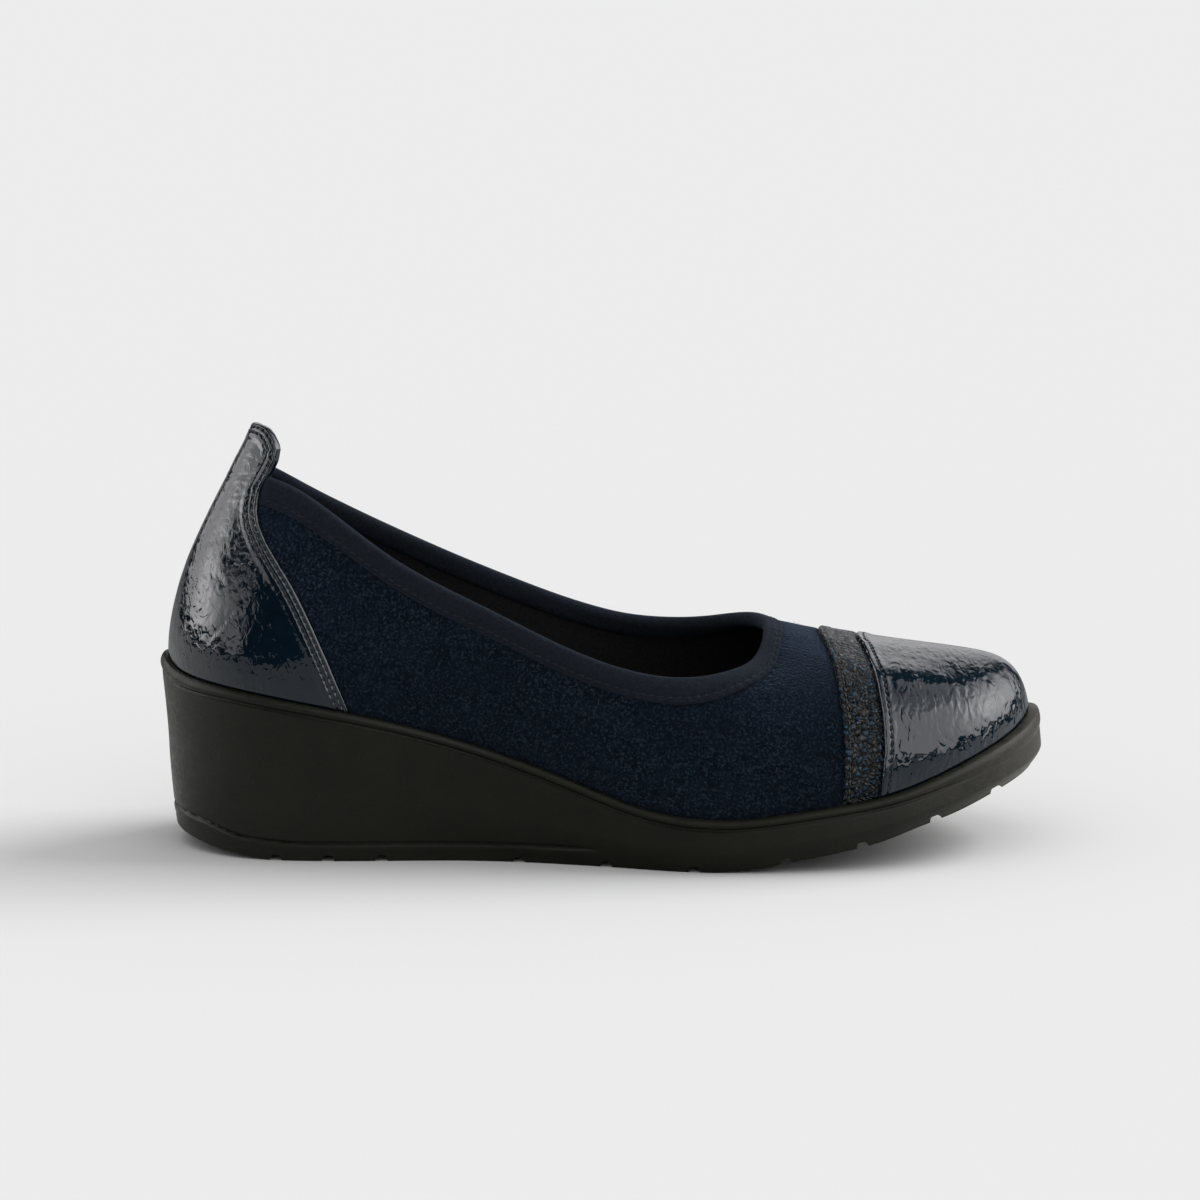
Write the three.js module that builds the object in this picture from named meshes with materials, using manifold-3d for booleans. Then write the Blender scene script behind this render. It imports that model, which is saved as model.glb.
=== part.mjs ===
// Women's slip-on shoe on a low moulded wedge, right foot, size EU 38.
// Millimetres, +Z up, toe towards +X, inner (medial) side towards +Y.
// Every form comes from one lofted last surface: a feather line round the foot,
// a topline round the collar, and one cubic section between them at each station.

import * as THREE from 'three';
import Module from 'manifold-3d';

// ---------------------------------------------------------------- named sizes
const GAP = 0.3;             // clearance between curved pieces that touch
const SEAT = 0.42;           // the same under an overlay, whose facets are laid out differently
const WALL = 1.8;            // stretch fabric with its lining
const OVERLAY = 0.8;         // patent overlays, folded edge and glue included
const BINDING = 0.8;         // thickness of the collar tape
const CUP_DEPTH = 5.2;       // depth of the sole's cup below the feather line
const INSOLE_TOP = 1.4;      // footbed surface below the feather line
const AROUND = 104;          // columns round the shoe

// Levels up the section, 0 at the feather line and 1 at the collar edge.
const OUTER_LEVELS = [0, 0.07, 0.14, 0.21, 0.29, 0.39, 0.51, 0.66, 0.82, 1];
const INNER_LEVELS = [1, 0.82, 0.62, 0.44, 0.29, 0.15, 0];

// ---------------------------------------------------------------- station table
// fx, fy, fz  feather line, where the upper meets the sole's rim
// tx, ty, tz  collar edge
// rise, out   first control point: up, and out from the feather line
// run, drop   second control point: from the collar edge outward, and down
const STATION_COLUMNS = ['name', 'fx', 'fy', 'fz', 'tx', 'ty', 'tz', 'rise', 'out', 'run', 'drop'];
const STATIONS = table(STATION_COLUMNS, [
  ['back',        -120.9,   0.0, 53.4, -102.7,   0.0, 106.6, 18.0,  0.3,  8.2, 16.0],
  ['l_corner',    -117.2, -13.6, 51.3, -100.9,  -7.4, 106.8, 18.0,  0.5,  7.2, 16.0],
  ['l_heel',      -105.6, -24.6, 49.2,  -95.0, -13.0, 107.0, 17.0,  0.8,  6.0, 15.0],
  ['l_rear',       -87.0, -29.4, 46.0,  -83.0, -18.6, 103.3, 16.0,  1.2,  3.6, 14.0],
  ['l_quarter',    -58.0, -29.8, 40.1,  -57.5, -25.6,  85.9, 14.0,  1.8,  2.6, 13.0],
  ['l_waist',      -30.0, -30.2, 32.1,  -30.5, -28.6,  71.9, 12.0,  2.2,  3.0, 11.0],
  ['l_mid',         -8.0, -34.2, 24.6,  -10.0, -30.0,  61.9, 12.0,  2.4,  4.0,  9.0],
  ['l_joint',       13.0, -38.9, 17.4,    8.5, -30.9,  55.2, 13.0,  2.2,  5.5,  8.0],
  ['l_ball',        36.0, -41.6, 15.0,   24.5, -29.6,  52.9, 14.0,  2.0,  8.0,  5.5],
  ['l_toes',        60.0, -40.6, 17.7,   36.0, -24.4,  53.5, 16.0,  1.8, 15.0,  3.5],
  ['l_side',        82.0, -36.5, 21.4,   42.4, -17.2,  55.3, 18.0,  1.6, 27.0,  3.0],
  ['l_toecorner',  100.0, -29.2, 27.7,   45.0, -11.0,  58.5, 20.0,  0.6, 40.0,  6.5],
  ['l_tip',        112.4, -18.4, 32.6,   45.8,  -7.0,  60.2, 20.5, -1.4, 52.0, 11.0],
  ['l_front',      118.8,  -6.8, 35.6,   46.1,  -3.4,  61.1, 22.0, -3.6, 59.0, 12.9],
  ['tip',          120.5,   3.2, 37.2,   46.2,   0.0,  61.3, 22.5, -4.7, 60.8, 13.4],
  ['m_front',      117.2,  13.0, 35.4,   46.1,   3.4,  61.3, 22.0, -3.4, 58.0, 12.7],
  ['m_tip',        108.6,  24.0, 31.4,   45.7,   7.2,  61.1, 21.0, -1.2, 49.0, 11.0],
  ['m_toecorner',   92.5,  33.4, 25.2,   44.3,  12.2,  60.6, 21.0,  0.6, 36.0,  7.5],
  ['m_side',        71.0,  39.4, 20.0,   40.2,  18.2,  60.1, 19.0,  1.6, 22.0,  4.0],
  ['m_ball',        48.0,  41.2, 16.3,   32.0,  24.4,  58.3, 18.0,  1.8, 12.0,  4.5],
  ['m_joint',       24.0,  37.6, 15.5,   17.5,  28.2,  57.5, 17.0,  2.0,  6.5,  7.0],
  ['m_mid',          2.0,  31.4, 21.0,    1.0,  29.5,  60.0, 14.0,  2.2,  3.5, 10.0],
  ['m_waist',      -24.0,  27.2, 30.3,  -24.0,  28.4,  68.8, 12.0,  2.4,  1.5, 11.0],
  ['m_quarter',    -55.0,  27.4, 39.5,  -54.0,  26.0,  82.3, 14.0,  2.2,  1.5, 13.0],
  ['m_rear',       -87.0,  28.6, 46.0,  -83.0,  18.6,  98.2, 16.0,  1.4,  3.6, 14.0],
  ['m_heel',      -105.6,  24.0, 49.2,  -95.2,  12.6, 105.6, 17.0,  0.8,  6.0, 15.0],
  ['m_corner',    -117.2,  13.2, 51.3, -100.9,   7.2, 106.4, 18.0,  0.5,  7.2, 16.0],
]);

// Sole wall, by distance along the shoe: how far the rim, the middle of the wall
// and the tread edge stand outside the feather line, and the height of the bead
// that runs round the rim.
const SOLE_WALL = table(['x', 'rim', 'bead', 'belly', 'foot'], [
  [-121, 3.0, 3.2, 0.9, -0.9],
  [-100, 2.8, 2.2, 1.0, -0.8],
  [ -30, 2.8, 2.0, 1.0, -1.0],
  [   0, 2.8, 2.0, 1.4, -0.8],
  [  30, 2.8, 2.0, 2.4,  1.0],
  [  75, 2.8, 2.0, 2.8,  1.3],
  [ 100, 3.2, 3.0, 3.3,  1.2],
  [ 121, 4.0, 4.4, 4.3,  1.6],
]);

// Tread height along the shoe: heel rocker, long flat, toe spring.
const TREAD = table(['x', 'z'], [
  [-124, 7.2], [-118, 4.6], [-112, 3.2], [-106, 1.9], [-100, 0.95], [-95, 0.35], [-91, 0],
  [30, 0], [37, 0.45], [44, 1.2], [55, 3.3], [66, 5.3], [77, 7.6], [89, 11.5], [100, 14.8],
  [112, 18.9], [118, 20.6], [126, 22.4],
]);
const LUG_X = [-90.7, -76.0, -61.0, -22.5, 1.7, 26.2, 51.5, 72.9, 93.5, 110.9];
const LUG_WIDTH = 3.4, LUG_DEPTH = 1.7;

// Edges of the overlays, as positions on the last surface: round = fraction
// round the loop from the back centre, up = level on the section.
const COUNTER_EDGE = table(['up', 'round'], [
  [0.014, 0.1214], [0.10, 0.1174], [0.25, 0.1102], [0.40, 0.1009], [0.53, 0.0900],
  [0.62, 0.0794], [0.70, 0.0700], [0.77, 0.0638], [0.83, 0.0611], [0.89, 0.0606],
  [0.96, 0.0628], [1.04, 0.0661], [1.12, 0.0685], [1.18, 0.0683],
]);
const TAB_TOP = table(['side', 'up'], [      // side: 0 centre back, 1 outer corner, -1 inner corner
  [-1, 1.155], [-0.96, 1.180], [-0.88, 1.203], [-0.75, 1.224], [-0.55, 1.242], [-0.3, 1.256], [0, 1.265],
  [0.3, 1.270], [0.55, 1.268], [0.72, 1.260], [0.84, 1.243], [0.92, 1.222], [0.97, 1.203], [1, 1.180],
]);
const INNER_TAB = 0.84;      // the inner half of the tab is this much narrower
// Edges that cross the instep: turn = degrees from straight up round the foot's
// axis, negative on the outer side; x = distance along the shoe.
const STRIP_REAR = table(['turn', 'x'], [
  [-94, 67.0], [-80, 67.5], [-62, 67.3], [-50, 66.5], [-34, 65.4], [-17, 63.7], [-7, 62.7], [0, 62.0],
  [8, 61.6], [16, 61.7], [34, 63.2], [50, 65.0], [62, 66.1], [80, 66.8], [94, 66.6],
]);
const CAP_REAR = table(['turn', 'x'], [
  [-94, 77.3], [-82, 78.1], [-72, 78.7], [-62, 78.5], [-50, 77.6], [-39, 76.7], [-30, 75.7], [-18, 74.6],
  [-5, 73.5], [2, 72.8], [10, 72.4], [18, 72.5], [32, 73.8], [46, 75.6], [62, 77.1], [76, 77.6], [94, 77.0],
]);
const AXIS_Z = 22;           // height of that axis
const LOW = 0.014;           // level where the overlays start, just above the rim
const TAPE_WIDTH = table(['round', 'w'], [   // visible width of the collar tape
  [0.06, 7.7], [0.30, 7.7], [0.37, 8.0], [0.42, 6.2], [0.46, 5.1], [0.55, 5.1], [0.60, 6.2], [0.65, 8.0], [0.94, 7.7],
]);
const TAPE_INSIDE = 6.0;     // width of the tape folded over to the inside
const TAPE_START = 0.0676;   // where the tape comes out from under the tab

// ---------------------------------------------------------------- small tools
function table(columns, rows) {
  return rows.map((row) => Object.fromEntries(row.map((v, i) => [columns[i], v])));
}
function lookup(rows, key, value, at) {     // smooth monotone lookup between rows
  const n = rows.length;
  if (at <= rows[0][key]) return rows[0][value];
  if (at >= rows[n - 1][key]) return rows[n - 1][value];
  let i = 0;
  while (at > rows[i + 1][key]) i++;
  const slope = (k) => (rows[k + 1][value] - rows[k][value]) / (rows[k + 1][key] - rows[k][key]);
  const tangent = (k) => {
    if (k === 0) return slope(0);
    if (k === n - 1) return slope(n - 2);
    const a = slope(k - 1), b = slope(k);
    return a * b <= 0 ? 0 : (2 * a * b) / (a + b);
  };
  const h = rows[i + 1][key] - rows[i][key], t = (at - rows[i][key]) / h;
  const m0 = tangent(i) * h, m1 = tangent(i + 1) * h;
  const y0 = rows[i][value], y1 = rows[i + 1][value];
  return (2 * t ** 3 - 3 * t ** 2 + 1) * y0 + (t ** 3 - 2 * t ** 2 + t) * m0
    + (3 * t ** 2 - 2 * t ** 3) * y1 + (t ** 3 - t ** 2) * m1;
}
const add = (a, b, k = 1) => [a[0] + k * b[0], a[1] + k * b[1], a[2] + k * b[2]];
const sub = (a, b) => [a[0] - b[0], a[1] - b[1], a[2] - b[2]];
const cross = (a, b) => [a[1] * b[2] - a[2] * b[1], a[2] * b[0] - a[0] * b[2], a[0] * b[1] - a[1] * b[0]];
const length = (a) => Math.hypot(...a);
const unit = (a) => { const l = length(a) || 1; return a.map((v) => v / l); };
const range = (n) => Array.from({ length: n }, (_, i) => i);
const mix = (a, b, t) => a + (b - a) * t;

// Periodic cubic spline through rows of numbers at knots 0 <= s < 1.
function loopSpline(s, rows) {
  const n = s.length, m = rows[0].length;
  const h = range(n).map((i) => (i + 1 < n ? s[i + 1] : 1 + s[0]) - s[i]);
  const A = range(n).map(() => new Array(n + m).fill(0));
  for (let i = 0; i < n; i++) {
    const p = (i + n - 1) % n, q = (i + 1) % n;
    A[i][p] += h[p]; A[i][i] += 2 * (h[p] + h[i]); A[i][q] += h[i];
    for (let c = 0; c < m; c++) A[i][n + c] = 6 * ((rows[q][c] - rows[i][c]) / h[i] - (rows[i][c] - rows[p][c]) / h[p]);
  }
  for (let i = 0; i < n; i++) {              // Gauss-Jordan with pivoting
    let best = i;
    for (let r = i + 1; r < n; r++) if (Math.abs(A[r][i]) > Math.abs(A[best][i])) best = r;
    [A[i], A[best]] = [A[best], A[i]];
    for (let r = 0; r < n; r++) {
      if (r === i || A[r][i] === 0) continue;
      const f = A[r][i] / A[i][i];
      for (let c = i; c < n + m; c++) A[r][c] -= f * A[i][c];
    }
  }
  const M = A.map((row, i) => row.slice(n).map((v) => v / A[i][i]));
  return (u) => {
    u -= Math.floor(u);
    let i = n - 1;
    while (i > 0 && s[i] > u) i--;
    const j = (i + 1) % n, t = u - s[i], a = h[i] - t;
    return range(m).map((c) => (M[i][c] * a ** 3 + M[j][c] * t ** 3) / (6 * h[i])
      + (rows[i][c] / h[i] - M[i][c] * h[i] / 6) * a + (rows[j][c] / h[i] - M[j][c] * h[i] / 6) * t);
  };
}

// ---------------------------------------------------------------- last surface
const feather = STATIONS.map((r) => [r.fx, r.fy, r.fz]);
const chords = feather.map((p, i) => Math.hypot(feather[(i + 1) % feather.length][0] - p[0], feather[(i + 1) % feather.length][1] - p[1]));
const girth = chords.reduce((a, b) => a + b);
const knots = chords.map((_, i) => chords.slice(0, i).reduce((a, b) => a + b, 0) / girth);
const featherLine = loopSpline(knots, feather);

// Unit normal of the feather line in plan, pointing out of the shoe.
function planNormal(u) {
  const e = 1e-4, a = featherLine(u - e), b = featherLine(u + e);
  const d = unit([b[0] - a[0], b[1] - a[1], 0]);
  return [d[1], -d[0], 0];
}
const guides = loopSpline(knots, STATIONS.map((r, i) => {
  const F = feather[i], T = [r.tx, r.ty, r.tz];
  const out = planNormal(knots[i]);
  const away = unit([F[0] - T[0], F[1] - T[1], 0]);
  const C1 = add(add(F, out, r.out), [0, 0, 1], r.rise);
  const C2 = add(add(T, away, r.run), [0, 0, -1], r.drop);
  return [...F, ...C1, ...C2, ...T];
}));

// Point of the last surface; above level 1 it runs straight on, for the tab.
function last(u, level) {
  const g = guides(u), v = Math.min(level, 1), w = 1 - v, beyond = Math.max(level - 1, 0);
  return range(3).map((c) => w ** 3 * g[c] + 3 * w * w * v * g[3 + c] + 3 * w * v * v * g[6 + c] + v ** 3 * g[9 + c]
    + beyond * 3 * (g[9 + c] - g[6 + c]));
}
function lastNormal(u, level) {
  const e = 1e-3;
  const du = sub(last(u + e, level), last(u - e, level));
  const dv = sub(last(u, level + e), last(u, level - e));
  return unit(cross(du, dv));
}
const offset = (u, level, out) => add(last(u, level), lastNormal(u, level), out);
const speed = (u, level) => length(sub(last(u, level + 1e-3), last(u, level - 1e-3))) / 2e-3;

const bisect = (lo, hi, above) => {
  for (let i = 0; i < 40; i++) { const mid = (lo + hi) / 2; if (above(mid)) hi = mid; else lo = mid; }
  return (lo + hi) / 2;
};
const RIDGE = 0.505;         // round position of the toe's tip
// Where a line of constant level crosses a given distance along the shoe.
const roundAt = (x, level, side) => bisect(side < 0 ? 0.2 : 0.82, RIDGE, (u) => last(u, level)[0] > x);
const turnOf = (p) => Math.atan2(p[1], p[2] - AXIS_Z) * 180 / Math.PI;
// Position on the last surface with a given distance along and turn round the foot.
function positionAt(x, turn) {
  const top = bisect(0.4, 1, (v) => last(RIDGE, v)[0] < x);
  const side = turn - turnOf(last(RIDGE, top));
  const v = bisect(0, top, (l) => (turnOf(last(roundAt(x, l, side), l)) - turn) * side < 0);
  return [roundAt(x, v, side), v];
}

// ---------------------------------------------------------------- mesh builders
class Body {
  constructor() { this.points = []; this.faces = []; }
  point(p) { this.points.push(p); return this.points.length - 1; }
  loop(points) { return points.map((p) => this.point(p)); }
  // Quads between two rows of equal length; closed rows wrap round.
  join(a, b, closed) {
    const n = a.length, last = closed ? n : n - 1;
    for (let i = 0; i < last; i++) {
      const j = (i + 1) % n;
      const d1 = length(sub(this.points[a[i]], this.points[b[j]]));
      const d2 = length(sub(this.points[a[j]], this.points[b[i]]));
      if (d1 <= d2) this.faces.push([a[i], a[j], b[j]], [a[i], b[j], b[i]]);
      else this.faces.push([a[i], a[j], b[i]], [a[j], b[j], b[i]]);
    }
  }
  // Closes a loop that runs back, outer side, toe, inner side with cross strips.
  close(loop, up) {
    const x = loop.map((i) => this.points[i][0]);
    const back = x.indexOf(Math.min(...x)), toe = x.indexOf(Math.max(...x)), n = loop.length;
    const a = [], b = [];
    for (let i = back; ; i = (i + 1) % n) { a.push(loop[i]); if (i === toe) break; }
    for (let i = back; ; i = (i + n - 1) % n) { b.push(loop[i]); if (i === toe) break; }
    let i = 0, j = 0;
    while (i < a.length - 1 || j < b.length - 1) {
      const stepA = j === b.length - 1 || (i < a.length - 1 && this.points[a[i + 1]][0] <= this.points[b[j + 1]][0]);
      const tri = stepA ? [a[i], a[i + 1], b[j]] : [a[i], b[j + 1], b[j]];
      if (new Set(tri).size === 3) this.faces.push(up ? tri : [tri[0], tri[2], tri[1]]);
      if (stepA) i++; else j++;
    }
  }
  signedVolume() {
    let v = 0;
    for (const [a, b, c] of this.faces) {
      const p = this.points[a], q = cross(this.points[b], this.points[c]);
      v += (p[0] * q[0] + p[1] * q[1] + p[2] * q[2]) / 6;
    }
    return v;
  }
  outward() {
    if (this.signedVolume() < 0) this.faces = this.faces.map(([a, b, c]) => [a, c, b]);
    return this;
  }
  geometry() {
    this.outward();
    const g = new THREE.BufferGeometry();
    g.setAttribute('position', new THREE.Float32BufferAttribute(this.points.flat(), 3));
    g.setIndex(this.faces.flat());
    g.computeVertexNormals();
    return g;
  }
}
// A tube of section loops, all with the same count, closed on itself.
function ring(loops) {
  const body = new Body(), rows = loops.map((l) => body.loop(l));
  rows.forEach((r, i) => body.join(r, rows[(i + 1) % rows.length], true));
  return body;
}
// A sheet with thickness: grids of outer and inner points with the same layout.
function sheet(outer, inner) {
  const body = new Body(), o = outer.map((r) => body.loop(r)), q = inner.map((r) => body.loop(r));
  for (let i = 0; i + 1 < o.length; i++) { body.join(o[i], o[i + 1], false); body.join(q[i + 1], q[i], false); }
  const edge = (rows) => [
    ...rows[0], ...rows.slice(1, -1).map((r) => r.at(-1)), ...[...rows.at(-1)].reverse(),
    ...rows.slice(1, -1).map((r) => r[0]).reverse(),
  ];
  body.join(edge(q), edge(o), true);
  return body;
}
// A bar: equal sections one after another, closed by flat ends.
function bar(sections) {
  const body = new Body(), rows = sections.map((s) => body.loop(s));
  for (let i = 0; i + 1 < rows.length; i++) body.join(rows[i], rows[i + 1], true);
  const cap = (row, flip) => {
    const half = row.length / 2;             // sections are laid out front then back
    for (let i = 0; i + 1 < half; i++) {
      const a = row[i], b = row[i + 1], c = row[row.length - 2 - i], d = row[row.length - 1 - i];
      const tris = [[a, b, c], [a, c, d]];
      tris.forEach((t) => body.faces.push(flip ? [t[0], t[2], t[1]] : t));
    }
  };
  cap(rows[0], true); cap(rows.at(-1), false);
  return body;
}

// ---------------------------------------------------------------- columns round
// Even steps along the feather line, a little closer at heel, tab corners and toe.
const columns = (() => {
  const weight = (u) => {
    const c = u < 0.5 ? u : (1 - u) / INNER_TAB;
    return 1 + 1.1 * Math.exp(-(((c - 0.066) / 0.012) ** 2)) + 0.5 * Math.exp(-((c / 0.05) ** 2)) + 0.6 * Math.exp(-(((u - 0.505) / 0.07) ** 2));
  };
  const fine = 4000, sums = [0];
  for (let i = 0; i < fine; i++) sums.push(sums[i] + weight((i + 0.5) / fine));
  return range(AROUND).map((k) => {
    const target = (k / AROUND) * sums[fine];
    let i = 0;
    while (sums[i + 1] < target) i++;
    return (i + (target - sums[i]) / (sums[i + 1] - sums[i])) / fine;
  });
})();

const featherAt = (u, out, dz) => add(add(featherLine(u), planNormal(u), out), [0, 0, dz]);

// ---------------------------------------------------------------- upper
// Collar edge of the fabric: just inside the fold of the tape, and up behind
// the tab at the back.
const tabCorner = COUNTER_EDGE.at(-1).round;
function collarLevel(u) {
  const side = u < 0.5 ? 1 : -1, c = u < 0.5 ? u : (1 - u) / INNER_TAB;
  const plain = 1 - (BINDING + SEAT) / speed(u, 1);
  const tab = lookup(TAB_TOP, 'side', 'up', side * Math.min(c / tabCorner, 1)) - 0.8 / speed(u, 1.2);
  const t = Math.min(Math.max((c - 0.0606) / 0.0048, 0), 1);
  return mix(tab, plain, t * t * (3 - 2 * t));
}
function buildUpper() {
  const skirt = (out) => columns.map((u) => featherAt(u, out, -(CUP_DEPTH - GAP)));
  const level = (v, out) => columns.map((u) => offset(u, v * collarLevel(u), out));
  return ring([
    skirt(0), ...OUTER_LEVELS.map((v) => level(v, 0)),
    ...INNER_LEVELS.map((v) => level(v, -WALL)), skirt(-WALL),
  ]);
}

// ---------------------------------------------------------------- sole and insole
const tread = (x) => lookup(TREAD, 'x', 'z', x);
const wall = (x, which) => lookup(SOLE_WALL, 'x', which, x);
function soleLoops() {
  const loop = (out, z) => columns.map((u) => {
    const f = featherLine(u), p = featherAt(u, out(f[0]), 0);
    return [p[0], p[1], z(f[2], p[0])];
  });
  const rim = (k, beads, dz = 0) => columns.map((u) => {
    const f = featherLine(u);
    return featherAt(u, wall(f[0], 'rim') + k, -beads * wall(f[0], 'bead') + dz);
  });
  const side = (t, drop) => columns.map((u) => {
    const f = featherLine(u), near = t < 0.5 ? wall(f[0], 'rim') - 0.5 : wall(f[0], 'foot');
    const p = featherAt(u, mix(wall(f[0], 'belly'), near, Math.abs(2 * t - 1) ** 1.3), 0);
    return [p[0], p[1], mix(f[2] - wall(f[0], 'bead') - 1.5, tread(p[0]) + 1.2, drop)];
  });
  return [
    loop(() => GAP, (fz) => fz - CUP_DEPTH),
    loop(() => GAP, (fz) => fz - 0.3),
    loop(() => GAP + 0.8, (fz) => fz + 0.2),
    rim(-1.0, 0, 0.15), rim(-0.2, 0.3), rim(0, 0.6), rim(-0.45, 1), rim(-0.95, 1, -0.5), rim(-0.5, 1, -1.1),
    side(0.3, 0.3), side(0.7, 0.72), side(1, 1),
    loop((x) => wall(x, 'foot') - 0.9, (fz, px) => tread(px)),
  ];
}
function buildSole(solidTools) {
  const body = new Body(), rows = soleLoops().map((l) => body.loop(l));
  for (let i = 0; i + 1 < rows.length; i++) body.join(rows[i], rows[i + 1], true);
  body.close(rows[0], false);
  body.close(rows.at(-1), true);
  return carveLugs(body.outward(), solidTools);
}
// Trapezoid channels across the tread, square to its slope.
function carveLugs(body, { Manifold, Mesh }) {
  const toSolid = (points, faces) => {
    const mesh = new Mesh({ numProp: 3, vertProperties: new Float32Array(points.flat()), triVerts: new Uint32Array(faces.flat()) });
    mesh.merge();
    return new Manifold(mesh);
  };
  let solid = toSolid(body.points, body.faces);
  for (const x of LUG_X) {
    const slope = Math.atan2(tread(x + 2) - tread(x - 2), 4), c = Math.cos(slope), s = Math.sin(slope);
    const half = LUG_WIDTH / 2, section = [[-half - 0.9, -2], [half + 0.9, -2], [half - 0.6, LUG_DEPTH], [-half + 0.6, LUG_DEPTH]];
    const cutter = new Body();
    const rows = [-60, 60].map((y) => cutter.loop(section.map(([a, b]) => [x + a * c - b * s, y, tread(x) + a * s + b * c])));
    cutter.join(rows[0], rows[1], true);
    cutter.faces.push([rows[0][0], rows[0][2], rows[0][1]], [rows[0][0], rows[0][3], rows[0][2]],
      [rows[1][0], rows[1][1], rows[1][2]], [rows[1][0], rows[1][2], rows[1][3]]);
    cutter.outward();
    solid = solid.subtract(toSolid(cutter.points, cutter.faces));
  }
  const out = solid.getMesh(), g = new THREE.BufferGeometry();
  g.setAttribute('position', new THREE.BufferAttribute(new Float32Array(out.vertProperties), 3));
  g.setIndex(new THREE.BufferAttribute(new Uint32Array(out.triVerts), 1));
  g.computeVertexNormals();
  return g;
}
function buildInsole() {
  const inset = -(WALL + GAP);
  const body = new Body();
  const rows = [
    columns.map((u) => featherAt(u, inset, -(CUP_DEPTH - GAP))),
    columns.map((u) => featherAt(u, inset, -INSOLE_TOP - 0.8)),
    columns.map((u) => featherAt(u, inset - 1.0, -INSOLE_TOP)),
  ].map((l) => body.loop(l));
  body.join(rows[0], rows[1], true); body.join(rows[1], rows[2], true);
  body.close(rows[0], false); body.close(rows[2], true);
  return body;
}

// ---------------------------------------------------------------- overlays
const overlay = (grid) => sheet(
  grid.map((row) => row.map(([u, v]) => offset(u, v, SEAT + OVERLAY))),
  grid.map((row) => row.map(([u, v]) => offset(u, v, SEAT))),
);
function counterRound(edge, side) {           // half width of the counter at one height
  const narrow = side < 0 ? mix(1, INNER_TAB, Math.min(Math.max((edge - 0.55) / 0.4, 0), 1)) : 1;
  return narrow * lookup(COUNTER_EDGE, 'up', 'round', edge);
}
// Heel counter with its tab: rows go up, columns from outer to inner side.
function counterGrid(across = 18) {
  const levels = [LOW, 0.12, 0.24, 0.36, 0.48, 0.58, 0.67, 0.75, 0.82, 0.89, 0.96, 1.03, 1.10, 1.15, 1.18];
  return levels.map((edge) => range(across + 1).map((k) => {
    const side = 1 - 2 * k / across, top = lookup(TAB_TOP, 'side', 'up', side);
    const v = LOW + (top - LOW) * (edge - LOW) / (1.18 - LOW);
    return [side * counterRound(edge, side), v];
  }));
}
// Positions along a crossing edge, from the outer feather line to the inner one.
function bandEdge(rows, count) {
  const x = (turn) => lookup(rows, 'turn', 'x', turn);
  const ends = [-1, 1].map((side) => {
    let turn = side * 92;
    for (let i = 0; i < 6; i++) turn = turnOf(last(roundAt(x(turn), LOW, side), LOW));
    return turn;
  });
  return range(count + 1).map((k) => {
    const turn = mix(ends[0], ends[1], k / count);
    if (k === 0 || k === count) return [roundAt(x(turn), LOW, k - 1), LOW];
    return positionAt(x(turn), turn);
  });
}
function stripGrid(count = 28) {
  const rear = bandEdge(STRIP_REAR, count), front = bandEdge(CAP_REAR, count);
  const gap = 0.06;                          // share of the band left free before the cap
  return range(3).map((r) => rear.map((p, k) => {
    const t = (1 - gap) * r / 2;
    return [mix(p[0], front[k][0], t), mix(p[1], front[k][1], t)];
  }));
}
function capGrid(across = 24, up = 12) {
  const edge = bandEdge(CAP_REAR, 60), low = LOW;
  const at = (t) => { const s = t * 60, i = Math.min(Math.floor(s), 59); return range(2).map((c) => mix(edge[i][c], edge[i + 1][c], s - i)); };
  const corner = 0.14;                       // share of the edge that forms each side
  return range(up + 1).map((r) => range(across + 1).map((k) => {
    const a = k / across, b = (r / up) ** 1.15;
    const bottom = [mix(edge[0][0], edge[60][0], a), low], topP = at(mix(corner, 1 - corner, a));
    const left = at(corner * b), right = at(1 - corner * b);
    return range(2).map((c) => mix(bottom[c], topP[c], b) + mix(left[c], right[c], a)
      - (1 - a) * (1 - b) * edge[0][c] - a * (1 - b) * edge[60][c]
      - (1 - a) * b * at(corner)[c] - a * b * at(1 - corner)[c]);
  }));
}
// Tape folded over the collar edge, from one side of the tab to the other.
function buildTape() {
  const ends = [TAPE_START, 1 - TAPE_START * INNER_TAB - 0.003];
  const between = columns.filter((u) => u > ends[0] + 0.002 && u < ends[1] - 0.002);
  const sections = [ends[0], ...between, ends[1]].map((u) => {
    const s = speed(u, 0.97);
    const low = 1 - lookup(TAPE_WIDTH, 'round', 'w', u) / s, inLow = 1 - TAPE_INSIDE / s;
    const fold = 1 - BINDING / s, crown = 1, inner = -(WALL + SEAT), mid = -WALL / 2;
    return [
      offset(u, low, SEAT + BINDING), offset(u, 1 - 0.35 / s, SEAT + BINDING), offset(u, crown, SEAT + BINDING - 0.45),
      offset(u, crown, inner - BINDING + 0.45), offset(u, 1 - 0.35 / s, inner - BINDING), offset(u, inLow, inner - BINDING),
      offset(u, inLow, inner), offset(u, fold, inner), offset(u, fold, mid - 0.3),
      offset(u, fold, mid + 0.3), offset(u, fold, SEAT), offset(u, low, SEAT),
    ];
  });
  return bar(sections);
}

// ---------------------------------------------------------------- assembly
const wasm = await Module();
wasm.setup();

const material = (color, roughness, extra = {}) => new THREE.MeshStandardMaterial({ color, roughness, metalness: 0, ...extra });
const pieces = [
  ['sole', buildSole(wasm), material(0x1f201d, 0.45)],
  ['insole', buildInsole().geometry(), material(0x15161a, 0.85)],
  ['upper', buildUpper().geometry(), material(0x171e2b, 0.9)],
  ['topline_binding', buildTape().geometry(), material(0x1a2233, 0.8)],
  ['heel_counter', overlay(counterGrid()).geometry(), material(0x0c111b, 0.12)],
  ['instep_strip', overlay(stripGrid()).geometry(), material(0x2a3338, 0.35)],
  ['toe_cap', overlay(capGrid()).geometry(), material(0x0c111b, 0.12)],
];

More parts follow.
